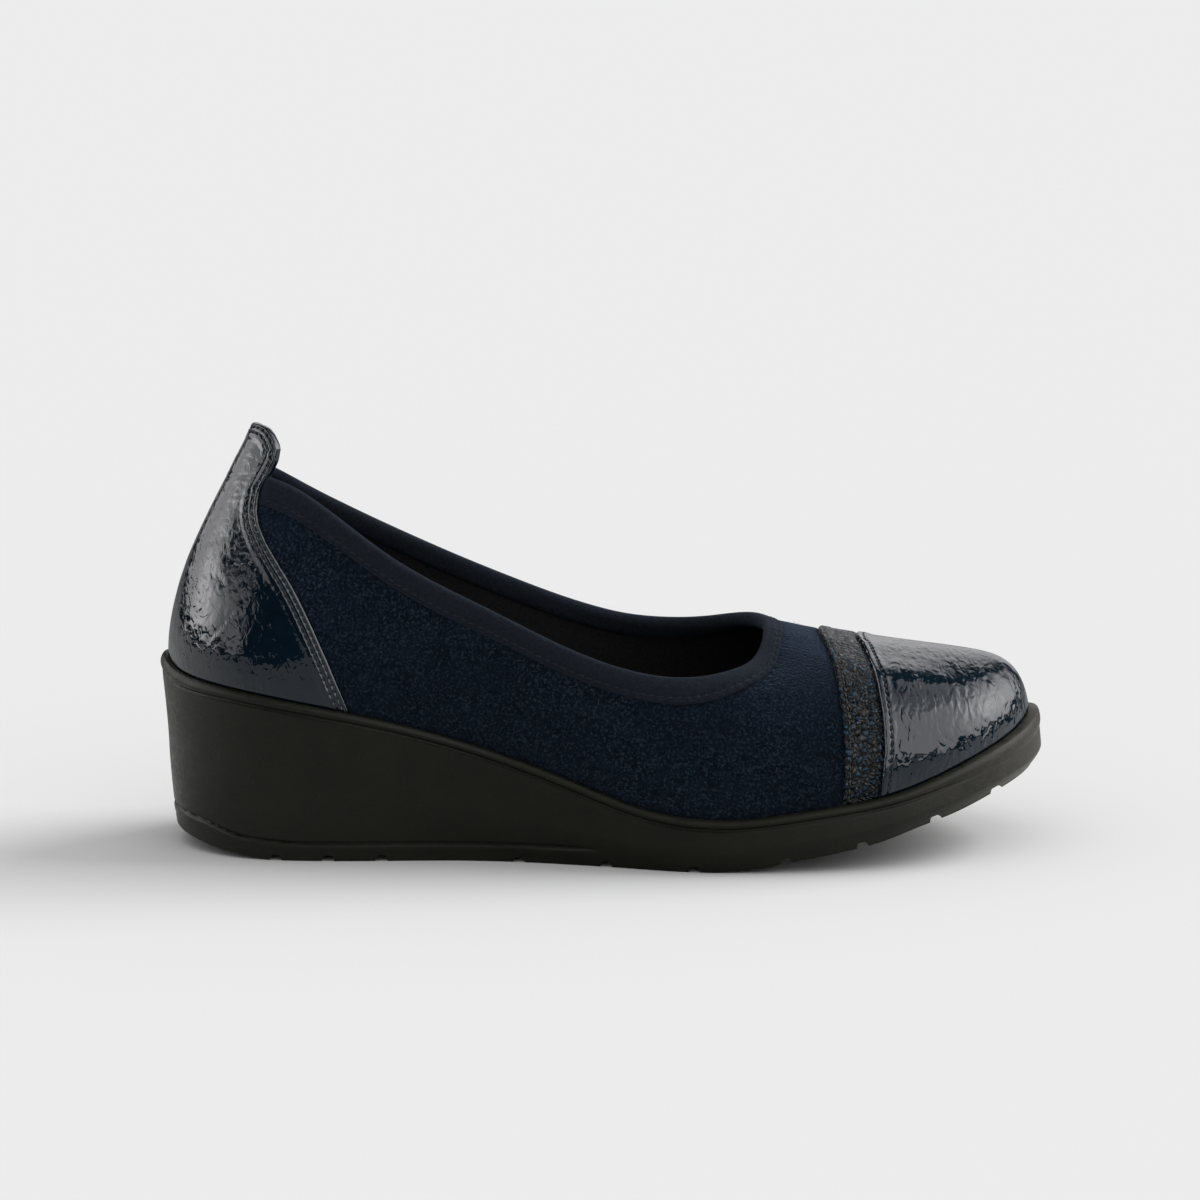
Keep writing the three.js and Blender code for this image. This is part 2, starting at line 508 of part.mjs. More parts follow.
// The origin is the centre of the bounding box, at floor level.
const box = new THREE.Box3();
for (const [, geometry] of pieces) { geometry.computeBoundingBox(); box.union(geometry.boundingBox); }
const shift = [-(box.min.x + box.max.x) / 2, -(box.min.y + box.max.y) / 2, -box.min.z];

const shoe = new THREE.Group();
shoe.name = 'shoe';
for (const [name, geometry, mat] of pieces) {
  geometry.translate(...shift);
  const mesh = new THREE.Mesh(geometry, mat);
  mesh.name = name;
  shoe.add(mesh);
}

export default shoe;
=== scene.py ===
import math
import bmesh
import bpy
import numpy as np
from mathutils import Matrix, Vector, noise
from mathutils.kdtree import KDTree


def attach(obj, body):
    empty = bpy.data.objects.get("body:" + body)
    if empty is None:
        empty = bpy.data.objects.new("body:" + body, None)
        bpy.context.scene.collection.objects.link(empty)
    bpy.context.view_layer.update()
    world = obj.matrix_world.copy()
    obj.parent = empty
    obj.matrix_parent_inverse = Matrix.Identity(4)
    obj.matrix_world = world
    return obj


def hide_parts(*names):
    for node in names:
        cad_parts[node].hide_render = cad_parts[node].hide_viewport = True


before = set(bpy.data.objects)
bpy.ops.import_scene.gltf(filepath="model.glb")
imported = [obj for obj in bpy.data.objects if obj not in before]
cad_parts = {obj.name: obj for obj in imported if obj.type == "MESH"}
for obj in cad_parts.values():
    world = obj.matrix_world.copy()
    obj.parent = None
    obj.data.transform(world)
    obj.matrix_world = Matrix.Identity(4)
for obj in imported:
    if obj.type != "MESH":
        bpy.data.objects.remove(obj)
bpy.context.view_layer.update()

# ------------------------------------------------------------------ the last
# The same tables as the CAD source, in millimetres. SHIFT centres the shoe on the frame.
SHIFT = np.array([-0.29653, 0.22474, 0.0])
GAP, SEAT, WALL, OVERLAY, BINDING, CUP_DEPTH, INSOLE_TOP = 0.3, 0.42, 1.8, 0.8, 0.8, 5.2, 1.4
RIDGE, AXIS_Z, LOW, INNER_TAB, TAPE_INSIDE, TAPE_START = 0.505, 22.0, 0.014, 0.84, 6.0, 0.0676
# feather x y z, collar x y z, rise, out, run, drop
STATIONS = np.array([
    [-120.9, 0.0, 53.4, -102.7, 0.0, 106.6, 18.0, 0.3, 8.2, 16.0],
    [-117.2, -13.6, 51.3, -100.9, -7.4, 106.8, 18.0, 0.5, 7.2, 16.0],
    [-105.6, -24.6, 49.2, -95.0, -13.0, 107.0, 17.0, 0.8, 6.0, 15.0],
    [-87.0, -29.4, 46.0, -83.0, -18.6, 103.3, 16.0, 1.2, 3.6, 14.0],
    [-58.0, -29.8, 40.1, -57.5, -25.6, 85.9, 14.0, 1.8, 2.6, 13.0],
    [-30.0, -30.2, 32.1, -30.5, -28.6, 71.9, 12.0, 2.2, 3.0, 11.0],
    [-8.0, -34.2, 24.6, -10.0, -30.0, 61.9, 12.0, 2.4, 4.0, 9.0],
    [13.0, -38.9, 17.4, 8.5, -30.9, 55.2, 13.0, 2.2, 5.5, 8.0],
    [36.0, -41.6, 15.0, 24.5, -29.6, 52.9, 14.0, 2.0, 8.0, 5.5],
    [60.0, -40.6, 17.7, 36.0, -24.4, 53.5, 16.0, 1.8, 15.0, 3.5],
    [82.0, -36.5, 21.4, 42.4, -17.2, 55.3, 18.0, 1.6, 27.0, 3.0],
    [100.0, -29.2, 27.7, 45.0, -11.0, 58.5, 20.0, 0.6, 40.0, 6.5],
    [112.4, -18.4, 32.6, 45.8, -7.0, 60.2, 20.5, -1.4, 52.0, 11.0],
    [118.8, -6.8, 35.6, 46.1, -3.4, 61.1, 22.0, -3.6, 59.0, 12.9],
    [120.5, 3.2, 37.2, 46.2, 0.0, 61.3, 22.5, -4.7, 60.8, 13.4],
    [117.2, 13.0, 35.4, 46.1, 3.4, 61.3, 22.0, -3.4, 58.0, 12.7],
    [108.6, 24.0, 31.4, 45.7, 7.2, 61.1, 21.0, -1.2, 49.0, 11.0],
    [92.5, 33.4, 25.2, 44.3, 12.2, 60.6, 21.0, 0.6, 36.0, 7.5],
    [71.0, 39.4, 20.0, 40.2, 18.2, 60.1, 19.0, 1.6, 22.0, 4.0],
    [48.0, 41.2, 16.3, 32.0, 24.4, 58.3, 18.0, 1.8, 12.0, 4.5],
    [24.0, 37.6, 15.5, 17.5, 28.2, 57.5, 17.0, 2.0, 6.5, 7.0],
    [2.0, 31.4, 21.0, 1.0, 29.5, 60.0, 14.0, 2.2, 3.5, 10.0],
    [-24.0, 27.2, 30.3, -24.0, 28.4, 68.8, 12.0, 2.4, 1.5, 11.0],
    [-55.0, 27.4, 39.5, -54.0, 26.0, 82.3, 14.0, 2.2, 1.5, 13.0],
    [-87.0, 28.6, 46.0, -83.0, 18.6, 98.2, 16.0, 1.4, 3.6, 14.0],
    [-105.6, 24.0, 49.2, -95.2, 12.6, 105.6, 17.0, 0.8, 6.0, 15.0],
    [-117.2, 13.2, 51.3, -100.9, 7.2, 106.4, 18.0, 0.5, 7.2, 16.0],
])
# x, rim, bead, belly, foot
SOLE_WALL = np.array([
    [-121, 3.0, 3.2, 0.9, -0.9], [-100, 2.8, 2.2, 1.0, -0.8], [-30, 2.8, 2.0, 1.0, -1.0], [0, 2.8, 2.0, 1.4, -0.8],
    [30, 2.8, 2.0, 2.4, 1.0], [75, 2.8, 2.0, 2.8, 1.3], [100, 3.2, 3.0, 3.3, 1.2], [121, 4.0, 4.4, 4.3, 1.6]])
TREAD = np.array([
    [-124, 7.2], [-118, 4.6], [-112, 3.2], [-106, 1.9], [-100, 0.95], [-95, 0.35], [-91, 0], [30, 0], [37, 0.45],
    [44, 1.2], [55, 3.3], [66, 5.3], [77, 7.6], [89, 11.5], [100, 14.8], [112, 18.9], [118, 20.6], [126, 22.4]])
LUG_X = [-90.7, -76.0, -61.0, -22.5, 1.7, 26.2, 51.5, 72.9, 93.5, 110.9]
LUG_WIDTH, LUG_DEPTH = 3.4, 1.7
GROOVE = np.array([[-121, 11.2], [-118, 10.8], [-112, 10.1], [-106, 8.2], [-100.6, 6.7], [-95, 5.9], [-89, 5.5], [-84, 5.2], [60, 5.2]])
COUNTER_EDGE = np.array([
    [0.014, 0.1214], [0.10, 0.1174], [0.25, 0.1102], [0.40, 0.1009], [0.53, 0.0900], [0.62, 0.0794], [0.70, 0.0700],
    [0.77, 0.0638], [0.83, 0.0611], [0.89, 0.0606], [0.96, 0.0628], [1.04, 0.0661], [1.12, 0.0685], [1.18, 0.0683]])
TAB_TOP = np.array([
    [-1, 1.155], [-0.96, 1.180], [-0.88, 1.203], [-0.75, 1.224], [-0.55, 1.242], [-0.3, 1.256], [0, 1.265],
    [0.3, 1.274], [0.55, 1.278], [0.72, 1.274], [0.84, 1.256], [0.92, 1.230], [0.97, 1.206], [1, 1.180]])
STRIP_REAR = np.array([
    [-94, 67.0], [-80, 67.5], [-62, 67.3], [-50, 66.5], [-34, 65.4], [-17, 63.7], [-7, 62.7], [0, 62.0],
    [8, 61.6], [16, 61.7], [34, 63.2], [50, 65.0], [62, 66.1], [80, 66.8], [94, 66.6]])
CAP_REAR = np.array([
    [-94, 77.3], [-82, 78.1], [-72, 78.7], [-62, 78.5], [-50, 77.6], [-39, 76.7], [-30, 75.7], [-18, 74.6],
    [-5, 73.5], [2, 72.8], [10, 72.4], [18, 72.5], [32, 73.8], [46, 75.6], [62, 77.1], [76, 77.6], [94, 77.0]])
TAPE_WIDTH = np.array([
    [0.06, 7.7], [0.30, 7.7], [0.37, 8.0], [0.42, 6.2], [0.46, 5.1], [0.55, 5.1], [0.60, 6.2], [0.65, 8.0], [0.94, 7.7]])


def lookup(rows, x, col=1):
    """Smooth monotone lookup between the rows of a table."""
    xs, ys = rows[:, 0], rows[:, col]
    h = np.diff(xs)
    s = np.diff(ys) / h
    m = np.zeros_like(ys)
    m[0], m[-1] = s[0], s[-1]
    a, b = s[:-1], s[1:]
    same = a * b > 0
    m[1:-1][same] = 2 * a[same] * b[same] / (a[same] + b[same])
    x = np.clip(np.asarray(x, float), xs[0], xs[-1])
    i = np.clip(np.searchsorted(xs, x, side="right") - 1, 0, len(xs) - 2)
    t = (x - xs[i]) / h[i]
    return ((2 * t**3 - 3 * t**2 + 1) * ys[i] + (t**3 - 2 * t**2 + t) * h[i] * m[i]
            + (3 * t**2 - 2 * t**3) * ys[i + 1] + (t**3 - t**2) * h[i] * m[i + 1])


def loop_spline(s, rows):
    """Periodic cubic spline through rows at knots 0 <= s < 1."""
    n = len(s)
    h = np.diff(np.append(s, 1 + s[0]))
    A, B = np.zeros((n, n)), np.zeros((n, rows.shape[1]))
    for i in range(n):
        p, q = (i - 1) % n, (i + 1) % n
        A[i, p] += h[p]
        A[i, i] += 2 * (h[p] + h[i])
        A[i, q] += h[i]
        B[i] = 6 * ((rows[q] - rows[i]) / h[i] - (rows[i] - rows[p]) / h[p])
    M = np.linalg.solve(A, B)

    def at(u):
        u = np.asarray(u, float) % 1.0
        i = np.searchsorted(s, u, side="right") - 1
        j = (i + 1) % n
        t, hi = (u - s[i])[..., None], h[i][..., None]
        a = hi - t
        return ((M[i] * a**3 + M[j] * t**3) / (6 * hi) + (rows[i] / hi - M[i] * hi / 6) * a
                + (rows[j] / hi - M[j] * hi / 6) * t)
    return at


def unit(a):
    return a / np.maximum(np.linalg.norm(a, axis=-1, keepdims=True), 1e-12)


FEATHER = STATIONS[:, :3]
_chord = np.linalg.norm(np.roll(FEATHER[:, :2], -1, 0) - FEATHER[:, :2], axis=1)
KNOTS = np.concatenate([[0], np.cumsum(_chord)[:-1]]) / _chord.sum()
feather = loop_spline(KNOTS, FEATHER)


def plan_normal(u):
    e = 1e-4
    d = feather(np.asarray(u) + e) - feather(np.asarray(u) - e)
    d[..., 2] = 0
    d = unit(d)
    return np.stack([d[..., 1], -d[..., 0], np.zeros_like(d[..., 0])], -1)


_F, _T = STATIONS[:, :3], STATIONS[:, 3:6]
_away = unit(np.concatenate([_F[:, :2] - _T[:, :2], np.zeros((len(_F), 1))], 1))
_up = np.array([0, 0, 1.0])
_C1 = _F + plan_normal(KNOTS) * STATIONS[:, 7:8] + _up * STATIONS[:, 6:7]
_C2 = _T + _away * STATIONS[:, 8:9] - _up * STATIONS[:, 9:10]
guides = loop_spline(KNOTS, np.concatenate([_F, _C1, _C2, _T], 1))


def last(u, v):
    """Point of the last surface; above level 1 it runs straight on, for the tab."""
    u, v = np.broadcast_arrays(np.asarray(u, float), np.asarray(v, float))
    g = guides(u)
    t = np.minimum(v, 1)[..., None]
    w, beyond = 1 - t, np.maximum(v - 1, 0)[..., None]
    return (w**3 * g[..., 0:3] + 3 * w * w * t * g[..., 3:6] + 3 * w * t * t * g[..., 6:9] + t**3 * g[..., 9:12]
            + beyond * 3 * (g[..., 9:12] - g[..., 6:9]))


def last_normal(u, v):
    e = 1e-3
    u, v = np.broadcast_arrays(np.asarray(u, float), np.asarray(v, float))
    return unit(np.cross(last(u + e, v) - last(u - e, v), last(u, v + e) - last(u, v - e)))


def offset(u, v, out):
    return last(u, v) + last_normal(u, v) * np.broadcast_to(np.asarray(out, float), np.broadcast(u, v).shape)[..., None]


def speed(u, v):
    return np.linalg.norm(last(u, v + 1e-3) - last(u, v - 1e-3), axis=-1) / 2e-3


def bisect(lo, hi, above):
    lo, hi = np.array(lo, float), np.array(hi, float)
    for _ in range(34):
        mid = (lo + hi) / 2
        up = above(mid)
        hi, lo = np.where(up, mid, hi), np.where(up, lo, mid)
    return (lo + hi) / 2


def round_at(x, level, side):
    x, level, side = np.broadcast_arrays(x, level, side)
    return bisect(np.where(side < 0, 0.2, 0.82), np.full(x.shape, RIDGE), lambda u: last(u, level)[..., 0] > x)


def turn_of(p):
    return np.degrees(np.arctan2(p[..., 1], p[..., 2] - AXIS_Z))


def position_at(x, turn):
    x, turn = np.asarray(x, float), np.asarray(turn, float)
    top = bisect(np.full(x.shape, 0.4), np.ones(x.shape), lambda v: last(RIDGE, v)[..., 0] < x)
    side = turn - turn_of(last(RIDGE, top))
    v = bisect(np.zeros(x.shape), top, lambda l: (turn_of(last(round_at(x, l, side), l)) - turn) * side < 0)
    return round_at(x, v, side), v


def columns(count):
    def weight(u):
        c = np.where(u < 0.5, u, (1 - u) / INNER_TAB)
        return (1 + 1.1 * np.exp(-(((c - 0.066) / 0.012) ** 2)) + 0.5 * np.exp(-((c / 0.05) ** 2))
                + 0.6 * np.exp(-(((u - 0.505) / 0.07) ** 2)))
    fine = 8000
    sums = np.concatenate([[0], np.cumsum(weight((np.arange(fine) + 0.5) / fine))])
    return np.interp(np.arange(count) / count * sums[-1], sums, np.arange(fine + 1) / fine)


def feather_at(u, out, dz=0.0):
    p = feather(u) + plan_normal(u) * np.broadcast_to(np.asarray(out, float), np.shape(u))[..., None]
    p[..., 2] += dz
    return p


def smooth(t):
    t = np.clip(t, 0, 1)
    return t * t * (3 - 2 * t)


def catmull(points, per):
    """Catmull-Rom through control rows (n, ..., 2), per steps to each span."""
    pts = np.concatenate([2 * points[:1] - points[1:2], points, 2 * points[-1:] - points[-2:-1]])
    rows = []
    for i in range(1, len(pts) - 2):
        p0, p1, p2, p3 = pts[i - 1], pts[i], pts[i + 1], pts[i + 2]
        for k in range(per):
            t = k / per
            rows.append(0.5 * (2 * p1 + (p2 - p0) * t + (2 * p0 - 5 * p1 + 4 * p2 - p3) * t * t
                               + (3 * p1 - p0 - 3 * p2 + p3) * t**3))
    rows.append(pts[-2])
    return np.array(rows)


def fractal(points, size, octaves=3, seed=0.0, stretch=(1, 1, 1)):
    """Seeded smooth noise about -1..1 over points in mm, features of the given size."""
    k = np.array(stretch, float) / size
    q = (points.reshape(-1, 3) * k + seed).tolist()
    return np.array([noise.fractal(Vector(p), 1.0, 2.0, octaves) for p in q]).reshape(points.shape[:-1])


# ------------------------------------------------------------------ mesh tools
def quads(rows, cols, wrap=False, base=0):
    r = np.arange(rows - 1)[:, None]
    c = np.arange(cols if wrap else cols - 1)[None, :]
    d = (c + 1) % cols
    return np.stack([r * cols + c, r * cols + d, (r + 1) * cols + d, (r + 1) * cols + c], -1).reshape(-1, 4) + base


def zipper(points, loop, up):
    """Triangles that close a loop which runs back, outer side, toe, inner side."""
    x = points[loop, 0]
    back, toe, n = int(np.argmin(x)), int(np.argmax(x)), len(loop)
    a, b, i = [], [], back
    while True:
        a.append(loop[i])
        if i == toe:
            break
        i = (i + 1) % n
    i = back
    while True:
        b.append(loop[i])
        if i == toe:
            break
        i = (i - 1) % n
    i = j = 0
    faces = []
    while i < len(a) - 1 or j < len(b) - 1:
        step = j == len(b) - 1 or (i < len(a) - 1 and points[a[i + 1], 0] <= points[b[j + 1], 0])
        tri = (a[i], a[i + 1], b[j]) if step else (a[i], b[j + 1], b[j])
        if len(set(tri)) == 3:
            faces.append(tri if up else (tri[0], tri[2], tri[1]))
        if step:
            i += 1
        else:
            j += 1
    return faces


def build(name, points, faces, mats, replaces=(), indices=None, uv=None, smooth_shade=True):
    me = bpy.data.meshes.new(name)
    faces = [tuple(int(k) for k in f) for f in (faces.tolist() if hasattr(faces, "tolist") else faces)]
    me.from_pydata(((points + SHIFT) / 1000).tolist(), [], faces)
    for m in mats:
        me.materials.append(m)
    if indices is not None:
        me.polygons.foreach_set("material_index", np.asarray(indices, np.int32))
    me.polygons.foreach_set("use_smooth", np.full(len(me.polygons), smooth_shade))
    if uv is not None:
        layer = me.uv_layers.new(name="UVMap")
        vi = np.zeros(len(me.loops), np.int32)
        me.loops.foreach_get("vertex_index", vi)
        layer.data.foreach_set("uv", uv[vi].astype(np.float32).ravel())
    me.update()
    o = bpy.data.objects.new(name, me)
    bpy.context.scene.collection.objects.link(o)
    finish_piece(o, replaces)
    return o


def finish_piece(o, replaces):
    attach(o, "root")
    if replaces:
        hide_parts(*replaces)


def edge_distance(points, line, closed=False):
    """Distance of each point from a line, in mm."""
    seg = np.concatenate([line, line[:1]]) if closed else line
    dense = []
    for a, b in zip(seg[:-1], seg[1:]):
        n = max(1, int(np.linalg.norm(b - a) / 0.06))
        dense.append(a + (b - a) * (np.arange(n) / n)[:, None])
    dense.append(seg[-1:])
    dense = np.concatenate(dense)
    tree = KDTree(len(dense))
    for i, p in enumerate(dense.tolist()):
        tree.insert(p, i)
    tree.balance()
    return np.array([tree.find(p)[2] for p in points.reshape(-1, 3).tolist()]).reshape(points.shape[:-1])


def along(points, line):
    """Distance from a line of even fine steps, and how far along it, in mm."""
    s = arc(line)
    at = np.linspace(0, s[-1], int(s[-1] / 0.08) + 2)
    tree = KDTree(len(at))
    for i, p in enumerate(np.stack([np.interp(at, s, line[:, k]) for k in range(3)], -1).tolist()):
        tree.insert(p, i)
    tree.balance()
    hit = [tree.find(p) for p in points.reshape(-1, 3).tolist()]
    return (np.array([h[2] for h in hit]).reshape(points.shape[:-1]),
            at[np.array([h[1] for h in hit])].reshape(points.shape[:-1]), s[-1])


def pits(points, u, v, out, pitch, depth, width=0.36):
    """The leather is pulled in where each stitch of a row goes through it."""
    d, s, total = along(points, last(u, v))
    step = total / int(total / pitch)
    return -depth * np.exp(-((d / width) ** 2)) * (0.5 + 0.5 * np.cos(2 * math.pi * s / step)) ** 1.5


def arc(points):
    return np.concatenate([[0], np.cumsum(np.linalg.norm(np.diff(points, axis=0), axis=1))])


def inset(u, v, d, sign=1):
    """Moves a path on the last surface sideways by d mm."""
    p = last(u, v)
    n = last_normal(u, v)
    along = unit(np.gradient(p, axis=0))
    side = np.cross(n, along) * sign * np.broadcast_to(d, u.shape)[..., None]
    e = 1e-3
    pu = (last(u + e, v) - last(u - e, v)) / (2 * e)
    pv = (last(u, v + e) - last(u, v - e)) / (2 * e)
    a, b, c = (pu * pu).sum(-1), (pu * pv).sum(-1), (pv * pv).sum(-1)
    r, s = (side * pu).sum(-1), (side * pv).sum(-1)
    det = a * c - b * b
    return u + (r * c - s * b) / det, v + (s * a - r * b) / det


def stitches(name, paths, mats, pitch=2.5, gap=0.55, radius=0.2, lift=0.1):
    """A row of separate thread stitches along each path of (u, v, out)."""
    verts, faces, base = [], [], 0
    rings, sides = 7, 7
    ang = np.arange(sides) / sides * 2 * math.pi
    for u, v, out in paths:
        p = offset(u, v, out)
        n = last_normal(u, v)
        s = arc(p)
        count = int(s[-1] / pitch)
        step = s[-1] / count
        at = (np.arange(count)[:, None] * step + np.linspace(gap / 2, step - gap / 2, rings)[None, :])
        P = np.stack([np.interp(at, s, p[:, k]) for k in range(3)], -1)
        N = unit(np.stack([np.interp(at, s, n[:, k]) for k in range(3)], -1))
        T = unit(np.gradient(P, axis=1))
        S = np.cross(N, T)
        f = np.linspace(0, 1, rings)
        h = lift + 0.14 * np.sin(math.pi * f) ** 0.6 - 0.14
        r = radius * np.array([0.35, 0.8, 1, 1.05, 1, 0.8, 0.35])
        P = P + N * h[None, :, None] + S * ((f - 0.5) * 0.22)[None, :, None]
        ringp = (P[:, :, None, :] + S[:, :, None, :] * (np.cos(ang)[None, None, :] * r[None, :, None])[..., None]
                 + N[:, :, None, :] * (np.sin(ang)[None, None, :] * r[None, :, None] * 0.85)[..., None])
        verts.append(ringp.reshape(-1, 3))
        one = quads(rings, sides, True)
        caps = [tuple(range(sides))[::-1], tuple((rings - 1) * sides + k for k in range(sides))]
        for i in range(count):
            o = base + i * rings * sides
            faces += (one + o).tolist() + [[k + o for k in c] for c in caps]
        base += count * rings * sides
    return build(name, np.concatenate(verts), faces, mats)


# ------------------------------------------------------------------ node tools
class Look:
    def __init__(self, name, **sockets):
        self.m = bpy.data.materials.new(name)
        self.m.use_nodes = True
        self.t = self.m.node_tree
        self.t.nodes.clear()
        self.out = self.t.nodes.new("ShaderNodeOutputMaterial")
        self.b = self.t.nodes.new("ShaderNodeBsdfPrincipled")
        self.t.links.new(self.b.outputs[0], self.out.inputs[0])
        for k, val in sockets.items():
            s = self.b.inputs[k.replace("_", " ")]
            s.default_value = (*val, 1) if isinstance(val, tuple) and len(val) == 3 and s.type == "RGBA" else val
        self.coord = self.t.nodes.new("ShaderNodeTexCoord")
        self.obj = self.coord.outputs["Object"]
        self.uv = self.coord.outputs["UV"]

    def link(self, value, socket):
        if hasattr(value, "is_output"):
            self.t.links.new(value, socket)
        else:
            socket.default_value = value

    def scaled(self, k, vector=None):
        n = self.t.nodes.new("ShaderNodeMapping")
        n.inputs["Scale"].default_value = k
        self.t.links.new(vector or self.obj, n.inputs["Vector"])
        return n.outputs[0]

    def noise(self, mm, detail=2.0, rough=0.5, distortion=0.0, vector=None):
        n = self.t.nodes.new("ShaderNodeTexNoise")
        n.inputs["Scale"].default_value = 1000.0 / mm
        n.inputs["Detail"].default_value = detail
        n.inputs["Roughness"].default_value = rough
        n.inputs["Distortion"].default_value = distortion
        self.t.links.new(vector or self.obj, n.inputs["Vector"])
        return n.outputs["Fac"]

    def voronoi(self, mm, feature="F1", vector=None, smoothness=0.5, out="Distance", randomness=1.0):
        n = self.t.nodes.new("ShaderNodeTexVoronoi")
        n.feature = feature
        n.inputs["Scale"].default_value = 1000.0 / mm
        n.inputs["Randomness"].default_value = randomness
        if feature == "SMOOTH_F1":
            n.inputs["Smoothness"].default_value = smoothness
        self.t.links.new(vector or self.obj, n.inputs["Vector"])
        return n.outputs[out]

    def math(self, op, a, b=0.0, c=0.0, clamp=False):
        n = self.t.nodes.new("ShaderNodeMath")
        n.operation = op
        n.use_clamp = clamp
        self.link(a, n.inputs[0])
        self.link(b, n.inputs[1])
        self.link(c, n.inputs[2])
        return n.outputs[0]

    def warp(self, amount_mm, mm, vector=None):
        """The coordinates pushed about by noise."""
        n = self.t.nodes.new("ShaderNodeTexNoise")
        n.inputs["Scale"].default_value = 1000.0 / mm
        n.inputs["Detail"].default_value = 2.0
        self.t.links.new(vector or self.obj, n.inputs["Vector"])
        s = self.t.nodes.new("ShaderNodeVectorMath")
        s.operation = "MULTIPLY_ADD"
        self.t.links.new(n.outputs["Color"], s.inputs[0])
        s.inputs[1].default_value = (amount_mm / 500.0,) * 3
        self.t.links.new(vector or self.obj, s.inputs[2])
        return s.outputs[0]

    def ramp(self, fac, stops, ease="LINEAR"):
        n = self.t.nodes.new("ShaderNodeValToRGB")
        n.color_ramp.interpolation = ease
        e = n.color_ramp.elements
        while len(e) < len(stops):
            e.new(0.5)
        for i, (at, col) in enumerate(stops):
            e[i].position = at
            e[i].color = (*col, 1) if isinstance(col, tuple) else (col, col, col, 1)
        self.t.links.new(fac, n.inputs[0])
        return n.outputs[0]

    def mix(self, fac, a, b, mode="MIX"):
        n = self.t.nodes.new("ShaderNodeMix")
        n.data_type = "RGBA"
        n.blend_type = mode
        self.link(fac, n.inputs[0])
        for s, val in ((n.inputs[6], a), (n.inputs[7], b)):
            if hasattr(val, "is_output"):
                self.t.links.new(val, s)
            else:
                s.default_value = (*val, 1)
        return n.outputs[2]

    def bump(self, height, mm, strength=1.0, normal=None):
        n = self.t.nodes.new("ShaderNodeBump")
        n.inputs["Strength"].default_value = strength
        n.inputs["Distance"].default_value = mm / 1000.0
        self.t.links.new(height, n.inputs["Height"])
        if normal is not None:
            self.t.links.new(normal, n.inputs["Normal"])
        return n.outputs[0]

    def set(self, name, value):
        self.t.links.new(value, self.b.inputs[name])


def suede():
    k = Look("suede", Roughness=0.92, Specular_IOR_Level=0.05, Sheen_Weight=0.17, Sheen_Roughness=0.5, Sheen_Tint=(0.42, 0.56, 0.85))
    grain = k.noise(0.72, 1.0, 0.6)
    clump = k.noise(1.0, 2.0, 0.6, 0.6, k.warp(0.5, 1.4))
    brushed = k.noise(7.0, 3.0, 0.6, 1.2, k.scaled((0.6, 1.0, 1.0)))
    broad = k.noise(26.0, 2.0, 0.5)
    tone = k.math("ADD", k.math("MULTIPLY", grain, 0.70), k.math("MULTIPLY", clump, 0.30))
    base = k.ramp(tone, [(0.38, (0.0002, 0.0008, 0.0024)), (0.46, (0.0010, 0.0028, 0.0062)), (0.53, (0.0034, 0.0068, 0.0124)), (0.63, (0.0150, 0.0230, 0.0340))])
    base = k.mix(k.ramp(brushed, [(0.38, 0.0), (0.70, 0.40)]), base, (0.0048, 0.0100, 0.0180), "MIX")
    base = k.mix(k.ramp(broad, [(0.32, 0.45), (0.60, 0.0)]), base, (0.0012, 0.0032, 0.0074))
    place = k.t.nodes.new("ShaderNodeSeparateXYZ")
    k.t.links.new(k.obj, place.inputs[0])
    quarter = k.ramp(k.math("MULTIPLY_ADD", place.outputs[0], 5.0, 0.5), [(0.06, 1.0), (0.26, 0.0)])      # painted light: the suede is made lighter towards the heel, on the quarter, standing in for the light of the lamp on the left
    base = k.mix(k.math("MULTIPLY", quarter, 0.5), base, k.mix(1.0, base, (1.9, 1.8, 1.7), "MULTIPLY"))
    k.set("Base Color", base)
    k.set("Roughness", k.ramp(brushed, [(0.3, 0.96), (0.7, 0.84)]))
    n = k.bump(clump, 0.42, 1.0)
    k.set("Normal", k.bump(grain, 0.34, 1.0, n))
    return k.m


def tape_cloth():
    k = Look("elastic_tape", Roughness=0.8, Specular_IOR_Level=0.10, Sheen_Weight=0.08, Sheen_Roughness=0.45, Sheen_Tint=(0.45, 0.55, 0.75))
    rib = k.t.nodes.new("ShaderNodeTexWave")
    rib.wave_type, rib.bands_direction, rib.wave_profile = "BANDS", "Y", "SIN"
    rib.inputs["Scale"].default_value = 0.5
    rib.inputs["Distortion"].default_value = 0.6
    rib.inputs["Detail"].default_value = 1.0
    rib.inputs["Detail Scale"].default_value = 0.8
    k.t.links.new(k.scaled((0.5, 2.2, 1.0), k.uv), rib.inputs["Vector"])
    weft = k.t.nodes.new("ShaderNodeTexWave")
    weft.wave_type, weft.bands_direction, weft.wave_profile = "BANDS", "X", "SIN"
    weft.inputs["Scale"].default_value = 0.5
    weft.inputs["Distortion"].default_value = 0.8
    k.t.links.new(k.scaled((2.0, 1.0, 1.0), k.uv), weft.inputs["Vector"])
    fuzz = k.noise(0.8, 3.0, 0.7)
    cloud = k.noise(9.0, 2.0, 0.5)
    thread = k.math("MULTIPLY", k.math("ADD", rib.outputs["Fac"], weft.outputs["Fac"]), 0.5)
    base = k.ramp(k.math("ADD", k.math("MULTIPLY", thread, 0.5), k.math("MULTIPLY", fuzz, 0.5)),
                  [(0.38, (0.0010, 0.0018, 0.0040)), (0.5, (0.0042, 0.0072, 0.0130)), (0.62, (0.0150, 0.0205, 0.0300))])
    base = k.mix(k.ramp(cloud, [(0.4, 0.0), (0.7, 0.35)]), base, (0.0065, 0.0085, 0.0130))
    k.set("Base Color", base)
    n = k.bump(thread, 0.16, 0.9)
    k.set("Normal", k.bump(fuzz, 0.40, 1.0, n))
    return k.m


